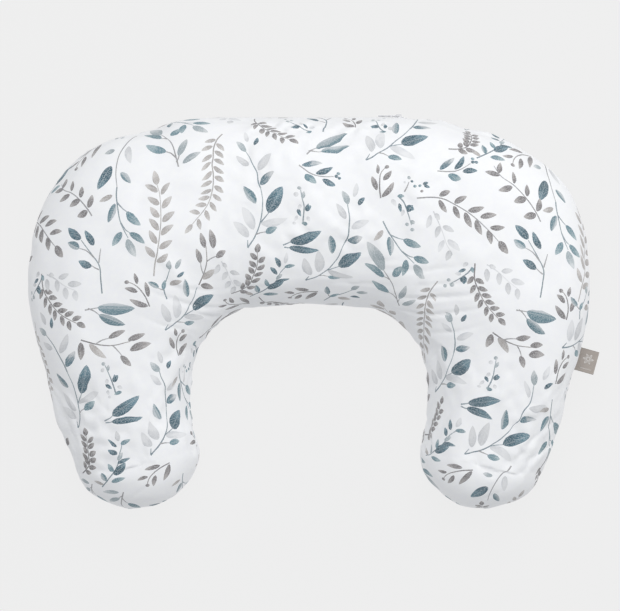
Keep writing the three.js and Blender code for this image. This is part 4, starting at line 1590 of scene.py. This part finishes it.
def slot_stitches(name, half):
    """Stitches along the lip of the zip's slot, on the outside of a panel."""
    cover_parts = []
    step = STITCH_LENGTH + STITCH_GAP
    x = -SLOT_HALF + TOP_STITCH_END
    while x < SLOT_HALF - TOP_STITCH_END:
        spots = np.linspace(x, x + STITCH_LENGTH, 4)
        side = np.where(spots < 0, -1.0, 1.0)
        way = np.interp(np.abs(spots), BACK_EDGE_X, BACK_EDGE_S)
        cloth = edge_cloth(side, way, np.zeros(4), TOP_STITCH_INSET, half)
        path, normal = surface(cloth, (0.0, 0.0))
        lift = np.array(TOP_STITCH_LIFT)[:, None]
        cover_parts.append(tube(path + normal * lift, THREAD, THREAD_SIDES))
        x += step
    return merged(name, cover_parts)


# ------------------------------------------------------------------ labels

LABEL_THICKNESS = 0.32
LABEL_FOLD = 0.42
LABEL_ROOT = 2.0


def folded_label(name):
    """The woven side label: one ribbon folded over, its two ends caught in the seam."""
    hinge, axis, out, height = label_frame()
    width = SIDE_LABEL_WIDTH
    reach = (box_mm("side_label")[1][0] - hinge[0] - abs(axis[0]) * width / 2) / out[0] - LABEL_FOLD
    straight = np.linspace(-LABEL_ROOT, reach - LABEL_FOLD, 44)
    bend = np.linspace(-math.pi / 2, math.pi / 2, 11)[1:-1]
    run = [(d, -LABEL_FOLD) for d in straight]
    run += [(reach - LABEL_FOLD + LABEL_FOLD * math.cos(a), LABEL_FOLD * math.sin(a)) for a in bend]
    run += [(d, LABEL_FOLD) for d in straight[::-1]]
    run = np.array(run)
    ahead = np.gradient(run, axis=0)
    ahead /= np.linalg.norm(ahead, axis=1, keepdims=True)
    normal = np.stack([ahead[:, 1], -ahead[:, 0]], -1)
    across = np.linspace(-0.5, 0.5, 49)
    edge = 1 - 0.5 * np.exp(-((0.5 - np.abs(across)) * width / 0.35) ** 2)
    grids = []
    for face in (1, -1):
        shift = run[:, None, :] + normal[:, None, :] * (face * LABEL_THICKNESS / 2 * edge)[None, :, None]
        sag = 0.12 * np.sin(shift[..., 0] / 7.0 + 2.0 * across[None, :])
        place = hinge + shift[..., 0, None] * out + (across * width)[None, :, None] * axis
        place[..., 2] = height + shift[..., 1] + sag
        grids.append(place)
    piece = closed_strip(name, grids[0], grids[1])
    way = np.concatenate([[0], np.cumsum(np.linalg.norm(np.diff(run, axis=0), axis=1))])
    along_label, across_label = np.meshgrid(way - way[-1] / 2, across * width, indexing="ij")
    layer = np.where(along_label > 0, 1.0, -1.0)
    lie = np.stack([along_label, across_label, layer], -1).reshape(-1, 3)
    add_vector(piece.data, "label_place", "POINT", np.concatenate([lie, lie]))
    return piece, reach


def label_frame():
    """Where the side label is hinged, its hinge line, the way out of the pillow, and its height."""
    low, high = box_mm("side_label")
    joint = next(j for j in frame["joints"] if j["name"] == "side_label_flex")
    hinge = np.array(joint["pos_m"], float) / MM
    axis = np.array(joint["axis"], float)
    axis = axis / np.linalg.norm(axis)
    out = np.cross(axis, (0, 0, 1))
    out = out if out[0] > 0 else -out
    return hinge, axis, out, (low[2] + high[2]) / 2


PETALS = 6
PETAL_START, PETAL_END = 0.9, 6.0
PETAL_ROWS = 6
PETAL_HALF_WIDTH = 1.35
FLOWER_RAISE = 2.3
LINE_DROP = 8.2
LINE_HALF = 6.5
MARK_THREAD = 0.17


def label_mark(name, reach):
    """A plain six-petal flower over two short lines, in raised pale thread on both label faces."""
    hinge, axis, out, height = label_frame()
    t = np.linspace(0, 1, 12)
    lines = []
    for angle in np.linspace(0, 2 * math.pi, PETALS, endpoint=False):
        for row in np.linspace(-1, 1, PETAL_ROWS):
            way = PETAL_START + (PETAL_END - PETAL_START) * t
            spread = row * PETAL_HALF_WIDTH * np.sin(math.pi * t ** 0.9)
            on = way * math.cos(angle) - spread * math.sin(angle)
            lines.append((on, FLOWER_RAISE + way * math.sin(angle) + spread * math.cos(angle)))
    for drop in (LINE_DROP, LINE_DROP + 3 * MARK_THREAD):
        lines.append((LINE_HALF * (2 * t - 1), np.full_like(t, -drop)))
    parts = []
    for face in (1, -1):
        for on, aside in lines:
            path = hinge + (reach / 2 + on)[:, None] * out + aside[:, None] * axis
            path[:, 2] = height + face * (LABEL_FOLD + LABEL_THICKNESS / 2 + 0.03)
            parts.append(tube(path, MARK_THREAD, 5))
    return merged(name, parts)


def care_label(name):
    """A satin ribbon that lies between the cover and the casing, sewn in at the seam."""
    way = np.linspace(CARE_LABEL_AT - CARE_LABEL_LENGTH / 2, CARE_LABEL_AT + CARE_LABEL_LENGTH / 2, 31)
    down = np.linspace(CARE_LABEL_INSET, CARE_LABEL_INSET + CARE_LABEL_WIDTH, 25)
    s, inset = np.meshgrid(way, down, indexing="ij")
    cloth = edge_cloth(-np.ones_like(s), s, np.zeros_like(s), inset, 1)
    outer, normal = surface(cloth, (2.9, 1.55))
    return closed_strip(name, outer, outer - normal * CARE_LABEL_THICKNESS)


# ------------------------------------------------------------------ materials

class Nodes:
    """Short names for building a material's nodes."""

    def __init__(self, name):
        self.material = bpy.data.materials.new(name)
        self.material.use_nodes = True
        self.tree = self.material.node_tree
        self.tree.nodes.clear()
        self.shader = self.add("ShaderNodeBsdfPrincipled")
        output = self.add("ShaderNodeOutputMaterial")
        self.join(self.shader.outputs["BSDF"], output.inputs["Surface"])

    def add(self, kind, **settings):
        node = self.tree.nodes.new(kind)
        for key, value in settings.items():
            setattr(node, key, value)
        return node

    def join(self, source, target):
        self.tree.links.new(source, target)

    def put(self, target, value):
        if isinstance(value, bpy.types.NodeSocket):
            self.join(value, target)
        else:
            target.default_value = value

    def math(self, operation, first, second=0.0, clamp=False):
        node = self.add("ShaderNodeMath", operation=operation, use_clamp=clamp)
        self.put(node.inputs[0], first)
        self.put(node.inputs[1], second)
        return node.outputs[0]

    def vector(self, operation, first, second):
        node = self.add("ShaderNodeVectorMath", operation=operation)
        self.put(node.inputs[0], first)
        self.put(node.inputs[1], second)
        return node.outputs[0]

    def coordinates(self):
        return self.add("ShaderNodeTexCoord").outputs["Object"]

    def in_mm(self, vector):
        return self.vector("MULTIPLY", vector, (1000, 1000, 1000))

    def paint(self, colour):
        self.join(colour, self.shader.inputs["Base Color"])

    def attribute(self, name):
        return self.add("ShaderNodeAttribute", attribute_name=name)

    def noise(self, vector, scale, detail=2.0, roughness=0.5):
        node = self.add("ShaderNodeTexNoise")
        self.put(node.inputs["Vector"], vector)
        node.inputs["Scale"].default_value = scale
        node.inputs["Detail"].default_value = detail
        node.inputs["Roughness"].default_value = roughness
        return node.outputs["Fac"]

    def span(self, value, low, high, out_low=0.0, out_high=1.0, smooth=True):
        node = self.add("ShaderNodeMapRange")
        node.interpolation_type = "SMOOTHSTEP" if smooth else "LINEAR"
        self.put(node.inputs["Value"], value)
        for key, number in (("From Min", low), ("From Max", high), ("To Min", out_low), ("To Max", out_high)):
            node.inputs[key].default_value = number
        return node.outputs["Result"]

    def mix(self, factor, first, second, blend="MIX"):
        node = self.add("ShaderNodeMix", data_type="RGBA", blend_type=blend)
        colours = [socket for socket in node.inputs if socket.type == "RGBA"]
        self.put(node.inputs[0], factor)
        self.put(colours[0], first)
        self.put(colours[1], second)
        return next(socket for socket in node.outputs if socket.type == "RGBA")

    def split(self, vector):
        node = self.add("ShaderNodeSeparateXYZ")
        self.join(vector, node.inputs[0])
        return node.outputs

    def threads(self, x, y, pitch):
        """Height of a plain weave: threads cross over and under at a pitch."""
        rate = math.pi / pitch
        wave_x = self.math("SINE", self.math("MULTIPLY", x, rate))
        wave_y = self.math("SINE", self.math("MULTIPLY", y, rate))
        return self.math("MULTIPLY", wave_x, wave_y)

    def bump(self, height, strength, distance):
        node = self.add("ShaderNodeBump")
        node.inputs["Strength"].default_value = strength
        node.inputs["Distance"].default_value = distance
        self.join(height, node.inputs["Height"])
        self.join(node.outputs["Normal"], self.shader.inputs["Normal"])

    def finish(self, roughness=0.8, sheen=0.0, specular=0.5, metallic=0.0):
        self.put(self.shader.inputs["Roughness"], roughness)
        self.shader.inputs["Sheen Weight"].default_value = sheen
        self.shader.inputs["Sheen Roughness"].default_value = 0.4
        self.shader.inputs["Specular IOR Level"].default_value = specular
        self.shader.inputs["Metallic"].default_value = metallic
        return self.material


def tone(colour, share=1.0):
    """A colour lightened or dimmed to a share of itself, with its alpha."""
    return (*[c * share for c in colour], 1)


COTTON = linear((0.955, 0.960, 0.966))
DULL_COTTON = (COTTON[0] * 0.985, COTTON[1] * 0.985, COTTON[2], 1)
THREAD_PITCH = 0.36


def cotton_material():
    """White plain-weave cotton with the watercolour print."""
    n = Nodes("printed_cotton")
    place = n.attribute("cloth_place").outputs["Vector"]
    x, y, _ = n.split(place)
    body, edge = n.attribute("ink_body"), n.attribute("ink_edge")
    lie = n.attribute("ink_lie").outputs["Vector"]
    run, off, number = n.split(lie)
    cloudy = n.noise(place, 0.16, 3.0, 0.6)
    grain = n.noise(place, 0.9, 3.0, 0.65)
    streak_place = n.add("ShaderNodeCombineXYZ")
    n.join(n.math("MULTIPLY", run, 2.2), streak_place.inputs[0])
    n.join(n.math("MULTIPLY", off, 1.1), streak_place.inputs[1])
    n.join(number, streak_place.inputs[2])
    streak = n.noise(streak_place.outputs[0], 1.3, 3.0, 0.6)
    shift = n.math("MULTIPLY", n.math("SUBTRACT", streak, 0.5), 1.3)
    into = n.span(n.math("ADD", run, shift), 0.30, 0.95)
    colour = n.mix(into, body.outputs["Color"], edge.outputs["Color"])
    distance = n.math("ABSOLUTE", off)
    midrib = n.span(distance, 0.03, 0.16, 0.13, 0.0)
    colour = n.mix(midrib, colour, (0.82, 0.84, 0.86, 1))
    wash = n.span(grain, 0.42, 0.64, 0.0, 0.42)
    colour = n.mix(wash, colour, (0.80, 0.82, 0.85, 1))
    pooled = n.math("MULTIPLY", n.span(distance, 0.55, 0.95, 0.0, 0.30), n.span(cloudy, 0.4, 0.6))
    colour = n.mix(pooled, colour, n.mix(1.0, colour, (0.55, 0.60, 0.66, 1), "MULTIPLY"))
    white = n.mix(n.span(cloudy, 0.35, 0.65), tone(COTTON), DULL_COTTON)
    printed = n.mix(body.outputs["Alpha"], white, colour)
    weave = n.threads(x, y, THREAD_PITCH)
    # Painted shade: the colour darkens a little in the weave's hollows, where the threads dip.
    printed = n.mix(n.span(weave, -1, 1, 0.05, 0.0), printed, (0.35, 0.36, 0.38, 1))
    n.paint(printed)
    slub = n.noise(place, 1.4, 4.0, 0.6)
    height = n.math("ADD", n.math("MULTIPLY", weave, 0.35), slub)
    n.bump(height, 0.35, 0.00012)
    return n.finish(n.span(slub, 0.3, 0.7, 0.78, 0.92), 0.12, 0.25)


def plain_cloth(name, colour, attribute, pitch, tint=0.94, sheen=0.1):
    n = Nodes(name)
    if attribute:
        place = n.attribute(attribute).outputs["Vector"]
    else:
        coordinates = n.coordinates()
        place = n.in_mm(coordinates)
    x, y, z = n.split(place)
    second = z if attribute is None else y
    weave = n.threads(x, second, pitch)
    soft = n.noise(place, 0.35, 3.0)
    shade = n.mix(n.span(soft, 0.3, 0.7), tone(colour), tone(colour, tint))
    # Painted shade: the colour darkens in the weave's hollows, where the threads dip.
    shade = n.mix(n.span(weave, -1, 1, 0.12, 0.0), shade, tone(colour, 0.5))
    n.paint(shade)
    n.bump(n.math("ADD", weave, n.noise(place, 2.0, 3.0)), 0.5, 0.00015)
    return n.finish(n.span(soft, 0.3, 0.7, 0.75, 0.9), sheen, 0.3)


def herringbone(name, colour):
    """Twill tape: slanting ribs that turn back at the middle."""
    n = Nodes(name)
    coordinates = n.coordinates()
    x, _, z = n.split(n.in_mm(coordinates))
    fold = n.math("ABSOLUTE", n.math("SUBTRACT", n.math("FRACT", n.math("MULTIPLY", z, 0.4)), 0.5))
    rib = n.math("SINE", n.math("MULTIPLY", n.math("ADD", x, n.math("MULTIPLY", fold, 2.5)), 9.0))
    soft = n.noise(coordinates, 400, 3.0)
    # Painted shade: each rib's groove is coloured darker than its crest.
    shade = n.mix(n.span(rib, -1, 1), tone(colour, 0.8), tone(colour))
    shade = n.mix(n.span(soft, 0.3, 0.7, 0.0, 0.1), shade, (0.5, 0.5, 0.52, 1))
    n.paint(shade)
    n.bump(n.math("ADD", rib, soft), 0.6, 0.0001)
    return n.finish(n.span(soft, 0.3, 0.7, 0.7, 0.85), 0.1, 0.3)


def fibre(name, colour):
    n = Nodes(name)
    coordinates = n.coordinates()
    clumps = n.noise(coordinates, 60, 6.0, 0.7)
    hairs = n.add("ShaderNodeTexVoronoi", feature="DISTANCE_TO_EDGE")
    hairs.inputs["Scale"].default_value = 900
    n.join(coordinates, hairs.inputs["Vector"])
    # Painted shade: the hollows between the clumps are coloured darker than their tops.
    shade = n.mix(n.span(clumps, 0.3, 0.7), tone(colour, 0.88), tone(colour))
    n.paint(shade)
    n.bump(n.math("ADD", clumps, hairs.outputs["Distance"]), 0.8, 0.0012)
    return n.finish(n.span(clumps, 0.3, 0.7, 0.85, 1.0), 0.3, 0.2)


def nylon(name, colour):
    n = Nodes(name)
    coordinates = n.coordinates()
    soft = n.noise(coordinates, 700, 3.0)
    shade = n.mix(n.span(soft, 0.3, 0.7), tone(colour), tone(colour, 0.9))
    n.paint(shade)
    n.bump(soft, 0.15, 0.00005)
    return n.finish(n.span(soft, 0.3, 0.7, 0.35, 0.5), 0.0, 0.5)


def satin_metal(name, colour):
    """Nickel plate with fine brushing and faint handling marks."""
    n = Nodes(name)
    coordinates = n.coordinates()
    brushed = n.noise(n.vector("MULTIPLY", coordinates, (300, 6000, 6000)), 1.0, 3.0, 0.6)
    marks = n.noise(coordinates, 900, 3.0)
    shade = n.mix(n.span(marks, 0.45, 0.75, 0.0, 0.35), tone(colour), tone(colour, 0.75))
    n.paint(shade)
    n.bump(brushed, 0.12, 0.00003)
    return n.finish(n.span(marks, 0.3, 0.7, 0.36, 0.52), 0.0, 0.5, 1.0)


def woven_label_material(name, colour):
    """Damask ribbon: fine ribs, and selvedges a little darker."""
    n = Nodes(name)
    place = n.attribute("label_place").outputs["Vector"]
    x, y, _ = n.split(place)
    rib = n.math("SINE", n.math("MULTIPLY", x, 2 * math.pi / 0.42))
    warp = n.math("SINE", n.math("MULTIPLY", y, 2 * math.pi / 0.30))
    soft = n.noise(place, 1.2, 3.0)
    edge = n.span(n.math("ABSOLUTE", y), 11.4, 12.3)
    shade = n.mix(n.span(soft, 0.3, 0.7), tone(colour), tone(colour, 1.18))
    shade = n.mix(n.math("MULTIPLY", edge, 0.35), shade, tone(colour, 0.55))
    # Painted shade: the colour darkens in the hollows between the ribs.
    shade = n.mix(n.span(rib, -1, 1, 0.22, 0.0), shade, tone(colour, 0.6))
    n.paint(shade)
    n.bump(n.math("ADD", rib, n.math("MULTIPLY", warp, 0.6)), 0.5, 0.00008)
    return n.finish(n.span(soft, 0.3, 0.7, 0.6, 0.8), 0.2, 0.3)


def woven_satin(name, colour):
    """Satin ribbon: long floating threads, glossier along than across."""
    n = Nodes(name)
    coordinates = n.coordinates()
    _, _, z = n.split(n.in_mm(coordinates))
    rib = n.math("SINE", n.math("MULTIPLY", z, 2 * math.pi / 0.3))
    soft = n.noise(coordinates, 300, 3.0)
    shade = n.mix(n.span(soft, 0.3, 0.7), tone(colour), tone(colour, 0.93))
    n.paint(shade)
    n.bump(n.math("ADD", rib, soft), 0.3, 0.00005)
    return n.finish(n.span(soft, 0.3, 0.7, 0.35, 0.5), 0.1, 0.5)


# ------------------------------------------------------------------ build

def dress(piece, material, slot, body, *nodes):
    piece.data.materials.clear()
    piece.data.materials.append(material)
    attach(piece, body)
    if nodes:
        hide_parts(*nodes)
    return piece


def flat_size(half):
    u, v = edge_flat(half)
    return (u.max() - u.min()) * MM, (v.max() - v.min()) * MM


cotton = cotton_material()
for title, half in (("cover_upper", 1), ("cover_lower", -1)):
    panel, cut_area = cover_panel(title, half)
    dress(panel, cotton, "cover_cotton", "pillow", title + "_panel")
    flat_size(half)

casing_material = plain_cloth("casing_polycotton", linear((0.93, 0.92, 0.90)), None, 0.4)
for title, half in (("casing_upper", 1), ("casing_lower", -1)):
    panel, cut_area = casing_panel(title, half)
    dress(panel, casing_material, "casing_cloth", "pillow", title + "_panel")
    flat_size(half)

filling = fibre_filling("filling")
white_fibre = fibre("polyester_fibre", linear((0.97, 0.97, 0.96)))
dress(filling, white_fibre, "filling_fibre", "pillow", "fibre_filling")

# The zip: tapes and coil are rebuilt in detail; slider, pull and stops keep their CAD shapes.
white_tape = herringbone("zip_tape_twill", linear((0.90, 0.91, 0.93)))
for node in ("zip_tape_upper", "zip_tape_lower"):
    dress(tape(node + "_cloth", node), white_tape, "zip_tape", "pillow", node)
white_nylon = nylon("zip_nylon", linear((0.90, 0.905, 0.92)))
for node, hand in (("zip_chain_upper", 1), ("zip_chain_lower", -1)):
    dress(coil(node + "_coil", node, hand), white_nylon, "zip_coil", "pillow", node)
thread = plain_cloth("sewing_thread", linear((0.93, 0.935, 0.95)), None, 0.12)
dress(tape_stitches("zip_tape_stitches"), thread, "zip_tape", "pillow")
for title, half in (("slot_stitches_upper", 1), ("slot_stitches_lower", -1)):
    dress(slot_stitches(title, half), thread, "cover_cotton", "pillow")

nickel = satin_metal("satin_nickel", linear((0.66, 0.665, 0.68)))
METAL_NODES = ("zip_slider", "zip_pull", "zip_top_stop_upper", "zip_top_stop_lower", "zip_bottom_stop")
for node in METAL_NODES:
    part = frame["nodes"][node]
    part.data.materials.clear()
    part.data.materials.append(nickel)
    bevel = part.modifiers.new("worn_edges", "BEVEL")
    bevel.width = METAL_BEVEL * MM
    bevel.segments = 2
    bevel.limit_method = "ANGLE"
    bevel.harden_normals = True

label, label_reach = folded_label("side_label_ribbon")
label_colour = linear((0.655, 0.625, 0.60))
dress(label, woven_label_material("woven_label", label_colour), "woven_label", "side_label", "side_label")
pale_thread = plain_cloth("label_thread", linear((0.90, 0.89, 0.88)), None, 0.12)
dress(label_mark("side_label_flower", label_reach), pale_thread, "woven_label", "side_label")

care = care_label("care_label_ribbon")
dress(care, woven_satin("satin_ribbon", linear((0.94, 0.94, 0.935))), "satin_label", "pillow", "care_label")


# ------------------------------------------------------------------ floor, light and camera

FLOOR_SHADE = 0.862


def floor_material():
    """Pale paper that glows a little, so that shadows on it stay faint."""
    n = Nodes("pale_floor")
    output = next(node for node in n.tree.nodes if node.type == "OUTPUT_MATERIAL")
    glow = n.add("ShaderNodeEmission")
    glow.inputs["Color"].default_value = (FLOOR_SHADE, FLOOR_SHADE, FLOOR_SHADE, 1)
    glow.inputs["Strength"].default_value = 1.0
    coordinates = n.coordinates()
    tint = n.span(n.noise(coordinates, 3.0), 0.3, 0.7, 0.80, 0.82)
    n.put(n.shader.inputs["Base Color"], n.mix(tint, (0, 0, 0, 1), (1, 1, 1, 1)))
    n.shader.inputs["Roughness"].default_value = 1.0
    n.shader.inputs["Specular IOR Level"].default_value = 0.0
    blend = n.add("ShaderNodeMixShader")
    blend.inputs[0].default_value = FLOOR_GLOW
    n.join(n.shader.outputs["BSDF"], blend.inputs[1])
    n.join(glow.outputs["Emission"], blend.inputs[2])
    n.join(blend.outputs["Shader"], output.inputs["Surface"])
    return n.material


def make_floor():
    size = 3000.0
    corners = [(-size, -size, 0), (size, -size, 0), (size, size, 0), (-size, size, 0)]
    floor = new_object("floor", [(x, y, -FLOOR_DROP) for x, y, _ in corners], [(0, 1, 2, 3)])
    floor.data.materials.append(floor_material())


def area_light(name, place, aim, size, watts, colour):
    data = bpy.data.lights.new(name, "AREA")
    data.shape = "DISK"
    data.size = size
    data.energy = watts
    data.color = colour
    lamp = bpy.data.objects.new(name, data)
    lamp.location = place
    lamp.rotation_euler = (Vector(aim) - Vector(place)).to_track_quat("-Z", "Y").to_euler()
    bpy.context.scene.collection.objects.link(lamp)


def light_scene():
    world = bpy.data.worlds.new("studio")
    world.use_nodes = True
    sky = world.node_tree.nodes["Background"]
    sky.inputs["Color"].default_value = (0.965, 0.98, 1.0, 1)
    sky.inputs["Strength"].default_value = SKY_STRENGTH
    bpy.context.scene.world = world
    area_light("overhead_light", (0.1, 0.95, 2.3), (0, 0.05, 0.05), 1.8, OVERHEAD_WATTS, (1.0, 0.99, 0.975))
    area_light("side_light", (1.9, 0.9, 1.3), (0, 0.0, 0.05), 1.2, SIDE_WATTS, (1.0, 0.985, 0.96))


def place_camera():
    data = bpy.data.cameras.new("camera")
    data.lens = CAMERA_LENS
    data.sensor_width = 36.0
    data.clip_end = 50.0
    camera = bpy.data.objects.new("camera", data)
    camera.location = CAMERA_PLACE
    bpy.context.scene.collection.objects.link(camera)
    bpy.context.scene.camera = camera


SKY_STRENGTH = 0.54
OVERHEAD_WATTS = 28.0
SIDE_WATTS = 9.0
FLOOR_GLOW = 0.93
FLOOR_DROP = 0.3
CAMERA_LENS = 163.2
CAMERA_PLACE = (-0.00385, 0.0059, 3.07)

make_floor()
light_scene()
place_camera()
bpy.context.scene.view_settings.view_transform = "Standard"
